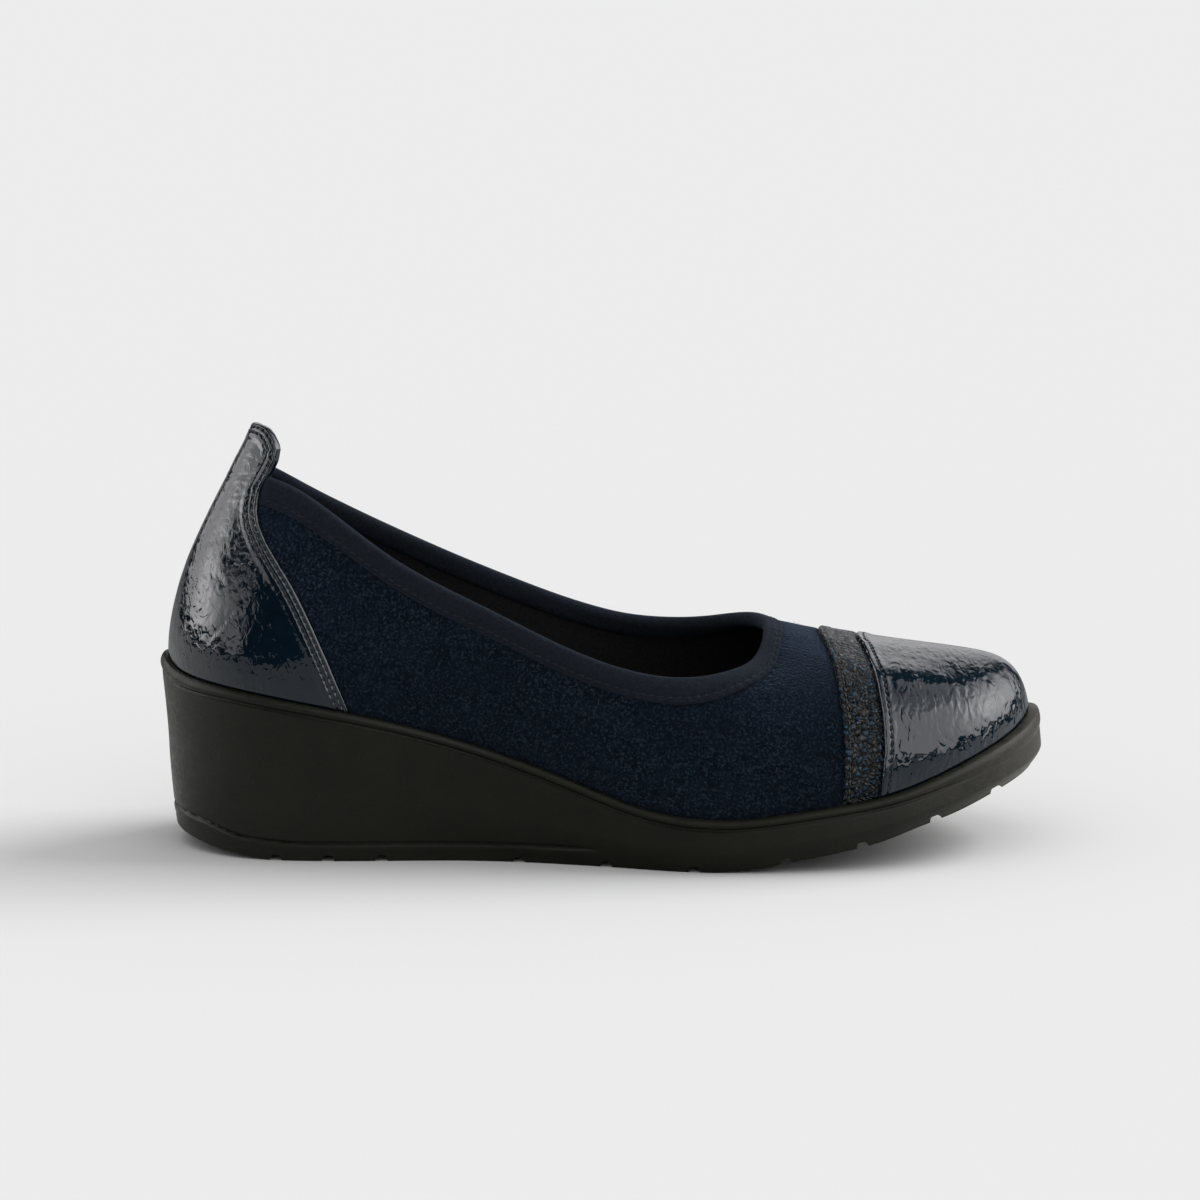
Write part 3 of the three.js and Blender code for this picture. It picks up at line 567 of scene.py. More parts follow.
def patent(name, wave, pebble, depth, crease=0.20, wide=0.07, tint=(0.0009, 0.0054, 0.0106)):
    """Crinkled patent: meandering wrinkles with sharp creases, a fine pebble, and calm patches between."""
    k = Look(name, Roughness=0.3, Specular_IOR_Level=0.0, Coat_Weight=1.0, Coat_Roughness=0.03, Coat_IOR=1.5)
    w = k.warp(1.0, 5.0, k.scaled(wave))
    wrinkle = k.noise(1.95, 0.35, 0.5, 0.5, w)
    long = k.math("ABSOLUTE", k.math("SUBTRACT", k.noise(2.8, 0.5, 0.45, 0.3, w), 0.5))
    short = k.math("ABSOLUTE", k.math("SUBTRACT", k.noise(1.9, 0.5, 0.5, 0.3, w), 0.5))
    cells = k.voronoi(1.9, "SMOOTH_F1", k.warp(0.8, 2.2, k.scaled(pebble)), 0.8)
    swell = k.noise(6.0, 2.0, 0.5, 0.3)
    patches = k.ramp(k.noise(10.0, 2.0, 0.5), [(0.36, 0.5), (0.62, 1.0)])
    height = k.math("ADD", k.math("MULTIPLY", wrinkle, 1.25), k.math("MULTIPLY", k.ramp(long, [(0.0, 0.0), (wide, 1.0)], "EASE"), crease))
    height = k.math("ADD", height, k.math("MULTIPLY", k.ramp(short, [(0.0, 0.0), (0.07, 1.0)], "EASE"), 0.06))
    height = k.math("ADD", height, k.math("MULTIPLY", cells, 0.32))
    height = k.math("MULTIPLY", height, patches)
    normal = k.bump(swell, 0.30, 0.5)
    normal = k.bump(height, depth, 0.95, normal)
    k.set("Normal", normal)
    k.set("Coat Normal", normal)
    base = k.mix(k.noise(4.0, 3.0, 0.6), tuple(c * 0.6 for c in tint), tuple(c * 1.6 for c in tint))
    k.set("Base Color", base)
    k.set("Roughness", k.ramp(k.noise(2.2, 3.0, 0.6), [(0.3, 0.22), (0.7, 0.38)]))
    return k.m


def flecked():
    """Crackled leather: dark blue-green grains with some rubbed gold ones, black cracks between."""
    k = Look("flecked_leather", Roughness=0.36, Specular_IOR_Level=0.20)
    w = k.warp(0.8, 2.0, k.scaled((1.0, 0.8, 0.9)))
    edge = k.voronoi(1.7, "DISTANCE_TO_EDGE", w)
    cell = k.voronoi(1.7, "F1", w, out="Color")
    split = k.voronoi(3.6, "DISTANCE_TO_EDGE", k.warp(1.2, 2.6, k.scaled((0.8, 1.0, 1.15))))
    hue = k.t.nodes.new("ShaderNodeSeparateColor")
    k.t.links.new(cell, hue.inputs[0])
    zone = k.noise(7.0, 2.0, 0.5)
    fine = k.noise(0.55, 2.0, 0.6)
    pick = k.math("ADD", k.math("MULTIPLY", hue.outputs[0], 0.55), k.math("MULTIPLY", zone, 0.5))
    base = k.ramp(pick, [(0.22, (0.0002, 0.0065, 0.0180)), (0.40, (0.0006, 0.0190, 0.0450)), (0.53, (0.0020, 0.0340, 0.0660)), (0.66, (0.0060, 0.0220, 0.0340)), (0.80, (0.0480, 0.0460, 0.0400)), (0.94, (0.0080, 0.0400, 0.0660))])
    base = k.mix(k.ramp(fine, [(0.55, 0.0), (0.72, 0.6)]), base, k.mix(hue.outputs[2], (0.034, 0.088, 0.115), (0.100, 0.098, 0.078)))
    base = k.mix(k.ramp(edge, [(0.07, 1.0), (0.27, 0.0)]), base, (0.0002, 0.0003, 0.0005))
    base = k.mix(k.ramp(split, [(0.03, 0.9), (0.12, 0.0)]), base, (0.0003, 0.0004, 0.0006))
    k.set("Base Color", base)
    k.set("Roughness", k.ramp(hue.outputs[1], [(0.0, 0.15), (1.0, 0.45)]))
    height = k.math("ADD", k.ramp(edge, [(0.0, 0.0), (0.20, 0.75), (0.5, 1.0)], "EASE"), k.math("MULTIPLY", k.ramp(split, [(0.0, 0.0), (0.14, 1.0)], "EASE"), 0.8))
    n = k.bump(height, 0.55, 1.0)
    k.set("Normal", k.bump(fine, 0.16, 0.9, n))
    return k.m


def moulded():
    k = Look("moulded_sole", Roughness=0.44, Specular_IOR_Level=0.21)
    grain = k.noise(0.6, 3.0, 0.6)
    cloud = k.noise(14.0, 3.0, 0.55, 0.5)
    speck = k.noise(1.0, 4.0, 0.8)
    scuff = k.noise(3.0, 3.0, 0.7, 1.0, k.scaled((0.25, 1.0, 1.2)))
    place = k.t.nodes.new("ShaderNodeSeparateXYZ")
    k.t.links.new(k.obj, place.inputs[0])
    toe = k.ramp(k.math("MULTIPLY", place.outputs[0], 5.0), [(0.40, 0.0), (0.56, 1.0)])      # a dusty rim at the toe, from x 80 mm
    base = k.ramp(cloud, [(0.3, (0.0034, 0.0036, 0.0014)), (0.7, (0.0056, 0.0058, 0.0028))])
    base = k.mix(k.ramp(speck, [(0.60, 0.0), (0.78, 0.40)]), base, (0.040, 0.040, 0.034))
    base = k.mix(k.math("MULTIPLY", toe, k.ramp(scuff, [(0.36, 0.3), (0.62, 1.0)])), base, (0.0310, 0.0300, 0.0240))
    k.set("Base Color", base)
    k.set("Roughness", k.ramp(scuff, [(0.3, 0.36), (0.7, 0.56)]))
    n = k.bump(grain, 0.08, 0.8)
    k.set("Normal", k.bump(k.noise(5.0, 2.0), 0.18, 0.35, n))
    return k.m


def plain_cloth(name, dark, light, mm=0.8):
    k = Look(name, Roughness=0.9, Specular_IOR_Level=0.1)
    weave = k.voronoi(mm, "F1", k.warp(0.15, 0.8))
    fuzz = k.noise(0.45, 3.0, 0.7)
    k.set("Base Color", k.mix(k.ramp(k.math("ADD", weave, fuzz), [(0.5, 0.0), (1.2, 1.0)]), dark, light))
    k.set("Normal", k.bump(weave, 0.12, 0.6))
    return k.m


def thread(name, dark, light):
    k = Look(name, Roughness=0.55, Specular_IOR_Level=0.3)
    k.set("Base Color", k.mix(k.noise(0.7, 2.0), dark, light))
    k.set("Normal", k.bump(k.noise(0.3, 2.0), 0.05, 0.6))
    return k.m


def fibre():
    k = Look("lint", Roughness=0.8)
    k.set("Base Color", k.mix(k.noise(3.0), (0.020, 0.025, 0.034), (0.085, 0.090, 0.105)))
    return k.m


SUEDE, TAPE, SOLE_MAT, STRIP_MAT = suede(), tape_cloth(), moulded(), flecked()
PATENT_HEEL = patent("patent_heel", (1.1, 1.1, 0.70), (1.0, 1.0, 1.0), 0.125)
PATENT_CAP = patent("patent_cap", (1.25, 0.60, 0.60), (0.8, 1.2, 1.2), 0.195, 0.42, 0.19, (0.0018, 0.0078, 0.0140))
LINING = plain_cloth("lining", (0.0040, 0.0040, 0.0044), (0.0125, 0.0125, 0.0135))
FOOTBED = plain_cloth("footbed", (0.0060, 0.0060, 0.0064), (0.0170, 0.0168, 0.0175), 1.0)
THREAD_TAPE = thread("thread_tape", (0.0014, 0.0024, 0.0050), (0.0050, 0.0078, 0.0130))
THREAD = thread("thread_navy", (0.0022, 0.0048, 0.0090), (0.0085, 0.0130, 0.0195))
THREAD_LIGHT = thread("thread_flecked", (0.012, 0.020, 0.024), (0.060, 0.058, 0.045))
LINT = fibre()


# ------------------------------------------------------------------ sole
def wall_at(x, which):
    return lookup(SOLE_WALL, x, {"rim": 1, "bead": 2, "belly": 3, "foot": 4}[which])


def make_sole():
    u = columns(620)
    F = feather(u)
    x, fz = F[:, 0], F[:, 2]
    rim, bead, belly, foot = (wall_at(x, w) for w in ("rim", "bead", "belly", "foot"))
    one = np.ones_like(x)
    g = 0.22 + 0.78 * smooth((106 - x) / 16)                          # the groove under the bead fades at the toe
    ctrl = np.array([[GAP * one, fz - 0.9], [(GAP + 0.03) * one, fz - 0.12], [(GAP + 0.24) * one, fz + 0.15], [(GAP + 0.75) * one, fz + 0.24],
                     [rim - 0.95, fz + 0.10], [rim - 0.28, fz - 0.26 * bead], [rim, fz - 0.60 * bead], [rim - 0.22 * g, fz - 0.90 * bead],
                     [rim - 0.70 * g, fz - bead - 0.18], [rim - 1.02 * g, fz - bead - 0.50], [rim - 0.92 * g, fz - bead - 0.86], [rim - 0.55 * g, fz - bead - 1.25]])
    lip = catmull(np.moveaxis(ctrl, 1, -1), 3)
    rows = [np.stack([GAP * one, fz - CUP_DEPTH], -1)] + list(lip)
    pts = [feather_at(u, r[:, 0], r[:, 1] - fz) for r in rows]
    top = fz - bead - 1.5
    px = feather_at(u, foot)[:, 0]
    foot_z = lookup(TREAD, px) + 0.5
    H = np.maximum(top - foot_z, 4)
    tc = 1 - np.minimum(9.0, 0.6 * H) / H
    steps = [tc * k / 20 for k in range(1, 20)] + [tc + (1 - tc) * k / 26 for k in range(27)]
    gz = lookup(GROOVE, x)
    fade = smooth((4 - x) / 14)
    for t in steps:
        near = np.where(t < 0.5, rim - 0.5 * g, foot)
        out = belly + (near - belly) * np.abs(2 * t - 1) ** 1.3
        z = top + (foot_z - top) * t
        out = out - 0.75 * fade * np.exp(-(((z - gz) / 0.42) ** 2)) + 0.18 * fade * np.exp(-(((z - gz + 1.6) / 1.2) ** 2))
        pts.append(feather_at(u, out, z - fz))
    for d_out, dz in ((-0.02, -0.14), (-0.07, -0.28), (-0.16, -0.40), (-0.28, -0.47), (-0.42, -0.5)):
        p = feather_at(u, foot + d_out)
        p[:, 2] = lookup(TREAD, p[:, 0]) + 0.5 + dz
        pts.append(p)
    bottom = feather_at(u, foot - 0.42)
    bottom[:, 2] = lookup(TREAD, bottom[:, 0])
    mid = bottom.copy()
    mid[:, 0] = np.clip(bottom[:, 0], -92, 92)
    mid[:, 1] = np.interp(mid[:, 0], [-92, 0, 50, 92], [0, 0, 0, 2])
    for k in (0.02, 0.10, 0.25, 0.45, 0.65, 0.85):
        p = bottom + (mid - bottom) * k
        p[:, 2] = lookup(TREAD, p[:, 0])
        pts.append(p)
    P = np.array(pts)
    R, C = P.shape[:2]
    wob = fractal(P[32:-6], 38.0, 2, 7.3)
    P[32:-6] += plan_normal(u)[None] * (wob * 0.16)[..., None]
    flat = P.reshape(-1, 3)
    faces = quads(R, C, True)[:, ::-1].tolist()
    faces += zipper(flat, list(range(C)), True)
    faces += zipper(flat, list(range((R - 1) * C, R * C)), False)
    me = bpy.data.meshes.new("sole_unit")
    me.from_pydata(((flat + SHIFT) / 1000).tolist(), [], faces)
    o = bpy.data.objects.new("sole_unit", me)
    bpy.context.scene.collection.objects.link(o)
    # channels across the tread, square to its slope
    cv, cf = [], []
    for lx in LUG_X:
        a = math.atan2(float(lookup(TREAD, lx + 2) - lookup(TREAD, lx - 2)), 4)
        c, s, z0 = math.cos(a), math.sin(a), float(lookup(TREAD, lx))
        h = LUG_WIDTH / 2
        sec = [(-h - 0.9, -2), (h + 0.9, -2), (h - 0.45, LUG_DEPTH - 0.35), (h - 0.85, LUG_DEPTH), (-h + 0.85, LUG_DEPTH), (-h + 0.45, LUG_DEPTH - 0.35)]
        b = len(cv)
        n = len(sec)
        for y in (-60, 60):
            cv += [(lx + p * c - q * s, y, z0 + p * s + q * c) for p, q in sec]
        cf += [(b + i, b + (i + 1) % n, b + n + (i + 1) % n, b + n + i) for i in range(n)]
        cf += [tuple(b + i for i in reversed(range(n))), tuple(b + n + i for i in range(n))]
    cm = bpy.data.meshes.new("channels")
    cm.from_pydata([((np.array(p) + SHIFT) / 1000).tolist() for p in cv], [], cf)
    for mesh in (me, cm):
        bm = bmesh.new()
        bm.from_mesh(mesh)
        bmesh.ops.recalc_face_normals(bm, faces=bm.faces)
        bm.to_mesh(mesh)
        bm.free()
    cutter = bpy.data.objects.new("channels", cm)
    bpy.context.scene.collection.objects.link(cutter)
    mod = o.modifiers.new("cut", "BOOLEAN")
    mod.object, mod.operation, mod.solver = cutter, "DIFFERENCE", "EXACT"
    dg = bpy.context.evaluated_depsgraph_get()
    cut = bpy.data.meshes.new_from_object(o.evaluated_get(dg))
    o.modifiers.clear()
    o.data = cut
    bpy.data.objects.remove(cutter)
    cut.materials.clear()
    cut.materials.append(SOLE_MAT)
    cut.polygons.foreach_set("material_index", np.zeros(len(cut.polygons), np.int32))
    cut.polygons.foreach_set("use_smooth", np.ones(len(cut.polygons), bool))
    cut.set_sharp_from_angle(angle=math.radians(38))
    finish_piece(o, ["sole"])
    return o


# ------------------------------------------------------------------ upper
TAB_CORNER = COUNTER_EDGE[-1, 1]


def collar_level(u):
    side, c = np.where(u < 0.5, 1, -1), np.where(u < 0.5, u, (1 - u) / INNER_TAB)
    plain = 1 - (BINDING + SEAT) / speed(u, 1.0)
    tab = lookup(TAB_TOP, side * np.minimum(c / TAB_CORNER, 1)) - 0.8 / speed(u, 1.2)
    t = smooth((c - 0.0606) / 0.0048)
    return tab + (plain - tab) * t


def tape_edge(u):
    """Level of the tape's lower edge."""
    return 1 - lookup(TAPE_WIDTH, u) / speed(u, 0.97)


def band_edge(rows, count):
    ends = []
    for side in (-1, 1):
        turn = np.array(side * 92.0)
        for _ in range(6):
            turn = turn_of(last(round_at(lookup(rows, turn), LOW, side), LOW))
        ends.append(float(turn))
    turn = np.linspace(ends[0], ends[1], count + 1)
    x = lookup(rows, turn)
    u, v = position_at(x, turn)
    for k, side in ((0, -1), (count, 1)):
        u[k], v[k] = round_at(x[k], LOW, side), LOW
    return u, v


REAR_U, REAR_V = band_edge(STRIP_REAR, 240)
CAP_U, CAP_V = band_edge(CAP_REAR, 240)


def make_upper():
    u = columns(720)
    top = collar_level(u)
    rows = 98
    out_rows = [feather_at(u, 0, -(CUP_DEPTH - GAP))]
    s = arc(feather(u))
    lv = np.linspace(0, 1, rows) ** 1.0
    V = lv[:, None] * top[None, :]
    U = np.broadcast_to(u, V.shape)
    P, N = last(U, V), last_normal(U, V)
    x = P[..., 0]
    free = smooth((x + 66) / 22) * smooth((58 - x) / 16)              # away from the overlays
    below = (tape_edge(u)[None, :] - V) * speed(U, V)                  # mm below the tape
    pucker = np.exp(-np.maximum(below, 0) / 3.6) * smooth((below + 1.5) / 1.5)
    ph = fractal(np.stack([s, 0 * s, 0 * s], -1), 11.0, 2, 3.1)
    wave = np.sin(2 * math.pi * s / 5.2 + 4 * ph)[None, :] * (0.6 + 0.6 * ph[None, :])
    disp = 0.13 * pucker * wave * smooth((x + 84) / 10) * smooth((60 - x) / 6)
    disp += free * 0.42 * fractal(P, 30.0, 2, 1.7) + free * 0.10 * fractal(P, 7.0, 2, 9.2)
    # soft draws from the throat corner and the waist, where the cloth is pulled over the last
    for (cx, cz, ax, az, amp, half) in ((-33, 52, 1.0, -0.25, 0.22, 4.0), (3, 38, 1.0, -0.5, 0.20, 4.5), (30, 36, 0.85, -0.9, 0.16, 4.0), (46, 44, 0.5, 1.0, 0.12, 3.0)):
        L = math.hypot(ax, az)
        across = ((x - cx) * az - (P[..., 2] - cz) * ax) / L
        along = ((x - cx) * ax + (P[..., 2] - cz) * az) / L
        disp += amp * np.exp(-((across / half) ** 2) - ((along / 16) ** 2)) * np.where(P[..., 1] < 0, 1.0, 0.6) * np.cos(across / half * 2)
    beside = edge_distance(P[:, (x[0] > 52)], last(REAR_U, REAR_V))
    dip = np.zeros_like(disp)
    dip[:, (x[0] > 52)] = 0.42 * np.exp(-((beside / 0.8) ** 2))
    disp *= smooth(V * 9)
    disp -= dip
    P = P + N * disp[..., None]
    out_rows += list(P)
    n_out = len(out_rows)
    inner = np.linspace(1, 0, 22)
    VI = inner[:, None] * top[None, :]
    UI = np.broadcast_to(u, VI.shape)
    out_rows += list(offset(UI, VI, -WALL))
    out_rows.append(feather_at(u, -WALL, -(CUP_DEPTH - GAP)))
    G = np.array(out_rows)
    R, C = G.shape[:2]
    f = quads(R, C, True)
    row_of = f[:, 0] // C
    last_row = np.stack([(R - 1) * C + np.arange(C), (R - 1) * C + (np.arange(C) + 1) % C, (np.arange(C) + 1) % C, np.arange(C)], -1)
    idx = np.concatenate([(row_of >= n_out - 1).astype(int), np.ones(C, int)])
    return build("upper_shell", G.reshape(-1, 3), np.concatenate([f, last_row]), [SUEDE, LINING], ["upper"], idx)


# ------------------------------------------------------------------ insole
def make_insole():
    u = columns(300)
    a = -(WALL + GAP)
    rows = [feather_at(u, a, -(CUP_DEPTH - GAP)), feather_at(u, a, -INSOLE_TOP - 0.9), feather_at(u, a - 0.2, -INSOLE_TOP - 0.35), feather_at(u, a - 0.9, -INSOLE_TOP)]
    edge = feather_at(u, a - 0.9, -INSOLE_TOP)
    mid = edge.copy()
    mid[:, 0] = np.clip(edge[:, 0], -88, 88)
    mid[:, 1] = np.interp(mid[:, 0], [-88, 0, 50, 88], [0, 0, 0, 2])
    ring = feather(np.linspace(0, 0.5, 400))
    order = np.argsort(ring[:, 0])
    for k in (0.06, 0.16, 0.30, 0.48, 0.68, 0.88):
        p = edge + (mid - edge) * k
        h = np.interp(p[:, 0], ring[order, 0], ring[order, 2]) - INSOLE_TOP
        p[:, 2] = edge[:, 2] + (h - edge[:, 2]) * smooth(k * 1.2) - 1.1 * smooth(k * 1.4)
        rows.append(p)
    G = np.array(rows)
    R, C = G.shape[:2]
    flat = G.reshape(-1, 3)
    faces = quads(R, C, True).tolist()
    faces += zipper(flat, list(range(C)), False)
    faces += zipper(flat, list(range((R - 1) * C, R * C)), True)
    return build("insole_footbed", flat, faces, [FOOTBED], ["insole"])


# ------------------------------------------------------------------ collar tape
def make_tape():
    ends = (0.0575, 1 - 0.0575 * INNER_TAB)
    base = columns(760)
    u = np.concatenate([[ends[0]], base[(base > ends[0] + 4e-4) & (base < ends[1] - 4e-4)], [ends[1]]])
    W = lookup(TAPE_WIDTH, np.clip(u, 0.06, 0.94))
    s = arc(last(u, 1.0))
    one = np.ones_like(u)
    tapering = lambda t, d: [np.asarray(t) * one, d * one]
    ctrl = np.array([
        [W - 0.15, -0.12 * one], [W + 0.02, 0.18 * one], [W - 0.06, 0.52 * one], [W - 0.42, 0.76 * one], [W - 0.95, 0.80 * one],
        [W - 1.45, 0.66 * one], [W - 1.95, 0.86 * one], [W - 2.9, 1.10 * one], [W * 0.45, 1.26 * one], [1.75 * one, 1.16 * one],
        [0.85 * one, 0.80 * one], [0.22 * one, 0.10 * one], [0.0 * one, -0.75 * one], [0.16 * one, -1.60 * one], [0.75 * one, -2.40 * one],
        [1.75 * one, -2.86 * one], [3.3 * one, -2.98 * one], [4.7 * one, -2.86 * one], [5.6 * one, -2.62 * one], [TAPE_INSIDE * one, -2.2 * one], [(TAPE_INSIDE - 0.2) * one, -1.7 * one]])
    sec = catmull(np.moveaxis(ctrl, 1, -1), 3)                        # rows, columns, (w, d)
    w, d = sec[..., 0], sec[..., 1]
    # under the counter the tape is pressed flat into the wall
    c = np.where(u < 0.5, u, (1 - u) / INNER_TAB)
    press = smooth((c - 0.0600) / 0.0052)[None, :]
    d = np.where(d > -0.9, d * press + (1 - press) * np.minimum(d, 0.20), d * press + (1 - press) * np.maximum(d, -1.55))
    sp = speed(u, 0.97)[None, :]
    ph = fractal(np.stack([s, 0 * s, 0 * s], -1), 9.0, 2, 5.5)[None, :]
    rough_edge = np.exp(-(((W[None, :] - w) - 0.9) / 1.5) ** 2) * (sec[..., 1] > 0)
    wave = np.sin(2 * math.pi * s / 2.55)[None, :]
    d = d + press * (0.10 * rough_edge * wave + 0.10 * rough_edge * ph + 0.14 * fractal(np.stack([np.broadcast_to(s, w.shape), w, 0 * w], -1), 16.0, 2, 2.2))
    w = w + 0.16 * ph * rough_edge * press
    U = np.broadcast_to(u, w.shape)
    V = 1 - w / sp
    P = offset(U, V, d)
    R, C = P.shape[:2]
    flat = P.reshape(-1, 3)
    faces = quads(R, C)
    close = np.stack([(R - 1) * C + np.arange(C - 1), (R - 1) * C + np.arange(1, C), np.arange(1, C), np.arange(C - 1)], -1)
    across = np.concatenate([[0], np.cumsum(np.linalg.norm(np.diff(P[:, C // 3], axis=0), axis=1))])
    uv = np.stack([np.broadcast_to(s, (R, C)), np.broadcast_to(across[:, None], (R, C))], -1).reshape(-1, 2)
    caps = [[int(r * C) for r in range(R)], [int(r * C + C - 1) for r in reversed(range(R))]]
    build("topline_tape", flat, np.concatenate([faces, close]).tolist() + caps, [TAPE], ["topline_binding"], uv=uv)
    us = np.linspace(0.066, 1 - 0.066 * INNER_TAB - 0.002, 2400)
    ws = lookup(TAPE_WIDTH, us) - 1.42
    stitches("tape_stitches", [(us, 1 - ws / speed(us, 0.97), np.full(us.shape, 0.70))], [THREAD_TAPE], pitch=2.55, gap=0.6, radius=0.19, lift=0.05)


# ------------------------------------------------------------------ overlays
def spread(n, k=0.6):
    t = np.linspace(0, 1, n)
    return t - k * np.sin(2 * math.pi * t) / (2 * math.pi)


def make_overlay(name, U, V, out, edge_out, mats, replaces, flap=7, uv=None):
    """A sheet on the last: out is its offset, which falls to edge_out round the border."""
    P = offset(U, V, out)
    R, C = U.shape
    ring = ([(0, c) for c in range(C)] + [(r, C - 1) for r in range(1, R)] + [(R - 1, c) for c in range(C - 2, -1, -1)]
            + [(r, 0) for r in range(R - 2, 0, -1)])
    ring = np.array(ring)
    pts = [P.reshape(-1, 3)]
    prev = ring[:, 0] * C + ring[:, 1]
    faces = quads(R, C).tolist()
    start = R * C
    for depth, drop in ((1, 0.22), (flap, 0.26)):
        r, c = np.clip(ring[:, 0], depth, R - 1 - depth), np.clip(ring[:, 1], depth, C - 1 - depth)
        e = edge_out[ring[:, 0], ring[:, 1]]
        pts.append(offset(U[r, c], V[r, c], e - drop))
        cur = start + np.arange(len(ring))
        nxt = np.roll(cur, -1)
        faces += np.stack([cur, nxt, np.roll(prev, -1), prev], -1).tolist()
        prev, start = cur, start + len(ring)
    return build(name, np.concatenate(pts), faces, mats, replaces)


def sink(v):
    """Lets the lowest part of an overlay run on down, just behind the sole's rim."""
    return v - (LOW + 0.016) * np.exp(-(v - LOW) / 0.05)


def thin_out(out, v):
    """Overlays are pressed thin where they go behind the rim."""
    return 0.2 + (out - 0.2) * smooth((v * 50 + 0.35) / 1.3)


def counter_round(edge, side):
    narrow = np.where(side < 0, 1 + (INNER_TAB - 1) * np.clip((edge - 0.55) / 0.4, 0, 1), 1)
    return narrow * lookup(COUNTER_EDGE, edge)


def counter_uv(a, b):
    side = 1 - 2 * a
    edge = LOW + (1.18 - LOW) * b
    v = LOW + (lookup(TAB_TOP, side) - LOW) * b
    return side * counter_round(edge, side), v


def fold_profile(dist, full, start, radius):
    """Offset of a folded edge: a quarter round from start up to full."""
    t = np.clip(dist / radius, 0, 1)
    return start + (full - start) * np.sqrt(np.clip(1 - (1 - t) ** 2, 0, 1))


def valley(dist, at, width, depth):
    return -depth * np.exp(-(((dist - at) / width) ** 2))


def make_counter():
    A, B = np.meshgrid(spread(236), spread(262))
    U, V = counter_uv(A, B)
    V = sink(V)
    base = last(U, V)
    border = np.concatenate([base[1:, 0], base[-1, 1:-1], base[::-1, -1][:-1]])     # not the bottom edge
    dist = edge_distance(base, border)
    high = smooth((V - 0.93) / 0.12)
    start = 0.05 - 1.15 * high
    full = 0.98 + 0.0 * V
    out = fold_profile(dist, full, start, 0.85 + 0.1 * high)
    out += valley(dist, 1.35, 0.30, 0.20) + valley(dist, 2.9, 0.30, 0.20) - 0.16 * smooth((dist - 4.2) / 1.4)
    inside = smooth((dist - 1.0) / 2.0)
    # over the end of the tape
    over = np.exp(-(((V - 0.955) / 0.075) ** 2)) * np.exp(-((dist / 3.5) ** 2))
    out += 0.32 * over
    # one long crease from the rim up towards the front edge, and short stretch creases at the foot of the tab
    x, z, outer = base[..., 0], base[..., 2], base[..., 1] < 0

    def crease(x0, z0, x1, z1, depth, width, bend=0.0):
        L = math.hypot(x1 - x0, z1 - z0)
        tx, tz = (x1 - x0) / L, (z1 - z0) / L
        along = ((x - x0) * tx + (z - z0) * tz) / L
        across = (x - x0) * tz - (z - z0) * tx + bend * along * (1 - along) * 4
        win = smooth(along / 0.15) * smooth((1 - along) / 0.15)
        return (-depth * np.exp(-((across / width) ** 2)) + 0.55 * depth * np.exp(-(((across - 2.2 * width) / (1.6 * width)) ** 2))) * win
    c = crease(-113.6, 55.6, -98.8, 74.5, 0.13, 0.26, -0.6) + crease(-107, 60, -101.0, 70.5, 0.05, 0.3, 0.6)
    for k, (zz, dd) in enumerate(((99.5, 0.05), (101.6, 0.08), (104.0, 0.09), (106.3, 0.07), (109.0, 0.04))):
        c += crease(-106.0 + 0.5 * k, zz - 1.2, -95.5 + 0.4 * k, zz + 0.6, dd, 0.36, 0.9 * (-1) ** k + 0.3 * k)
    out += np.where(outer, c, 0.8 * c) * inside
    out += inside * (0.060 * fractal(base, 8.5, 2, 4.4, (1, 1, 1.25)) + 0.018 * fractal(base, 2.6, 2, 8.1, (1, 1, 0.8)))
    out += inside * 0.16 * fractal(base, 24.0, 2, 6.0)
    # double row of stitches inside the folded edge, up the outer side, over the tab and down
    t = np.linspace(0.004, 1, 700)
    left = counter_uv(np.zeros_like(t), t)
    topw = np.linspace(0.0, 1, 420)[1:-1]
    over_top = counter_uv(topw, np.ones_like(topw))
    right = counter_uv(np.ones_like(t), t[::-1])
    eu, ev = (np.concatenate([left[i], over_top[i], right[i]]) for i in range(2))
    keep = 5
    for _ in range(2):                                               # copies the path; its corners are left as they are
        eu, ev = eu.copy(), ev.copy()
    paths = []
    for d in (1.35, 2.9):
        su, sv = inset(eu, ev, d, 1)
        p = last(su, sv)
        if np.mean(edge_distance(p[::40], np.stack([last(eu[::3], ev[::3])][0:1])[0])) < 0.2:
            su, sv = inset(eu, ev, d, -1)
        p = last(su, sv)
        # the offset curve folds over itself at the corners: keep what is really d inside
        far = edge_distance(p, last(eu, ev)) > d - 0.12
        inside_shape = (np.abs(np.where(su < 0.5, su, su - 1)) < 0.14)
        ok = far & inside_shape
        for seg in np.split(np.arange(len(ok)), np.where(np.diff(ok.astype(int)) != 0)[0] + 1):
            if len(seg) > 40 and ok[seg[0]]:
                paths.append((su[seg], sv[seg], np.full(len(seg), 0.84)))
    near = dist < 4.0
    for su, sv, so in paths:
        out[near] += pits(base[near], su, sv, so, 2.1, 0.20)
    out = thin_out(out, V)
    make_overlay("heel_counter_patent", U, V, out, start, [PATENT_HEEL], ["heel_counter"])
    stitches("counter_stitches", paths, [THREAD], pitch=2.1, gap=0.45, radius=0.17, lift=0.06)


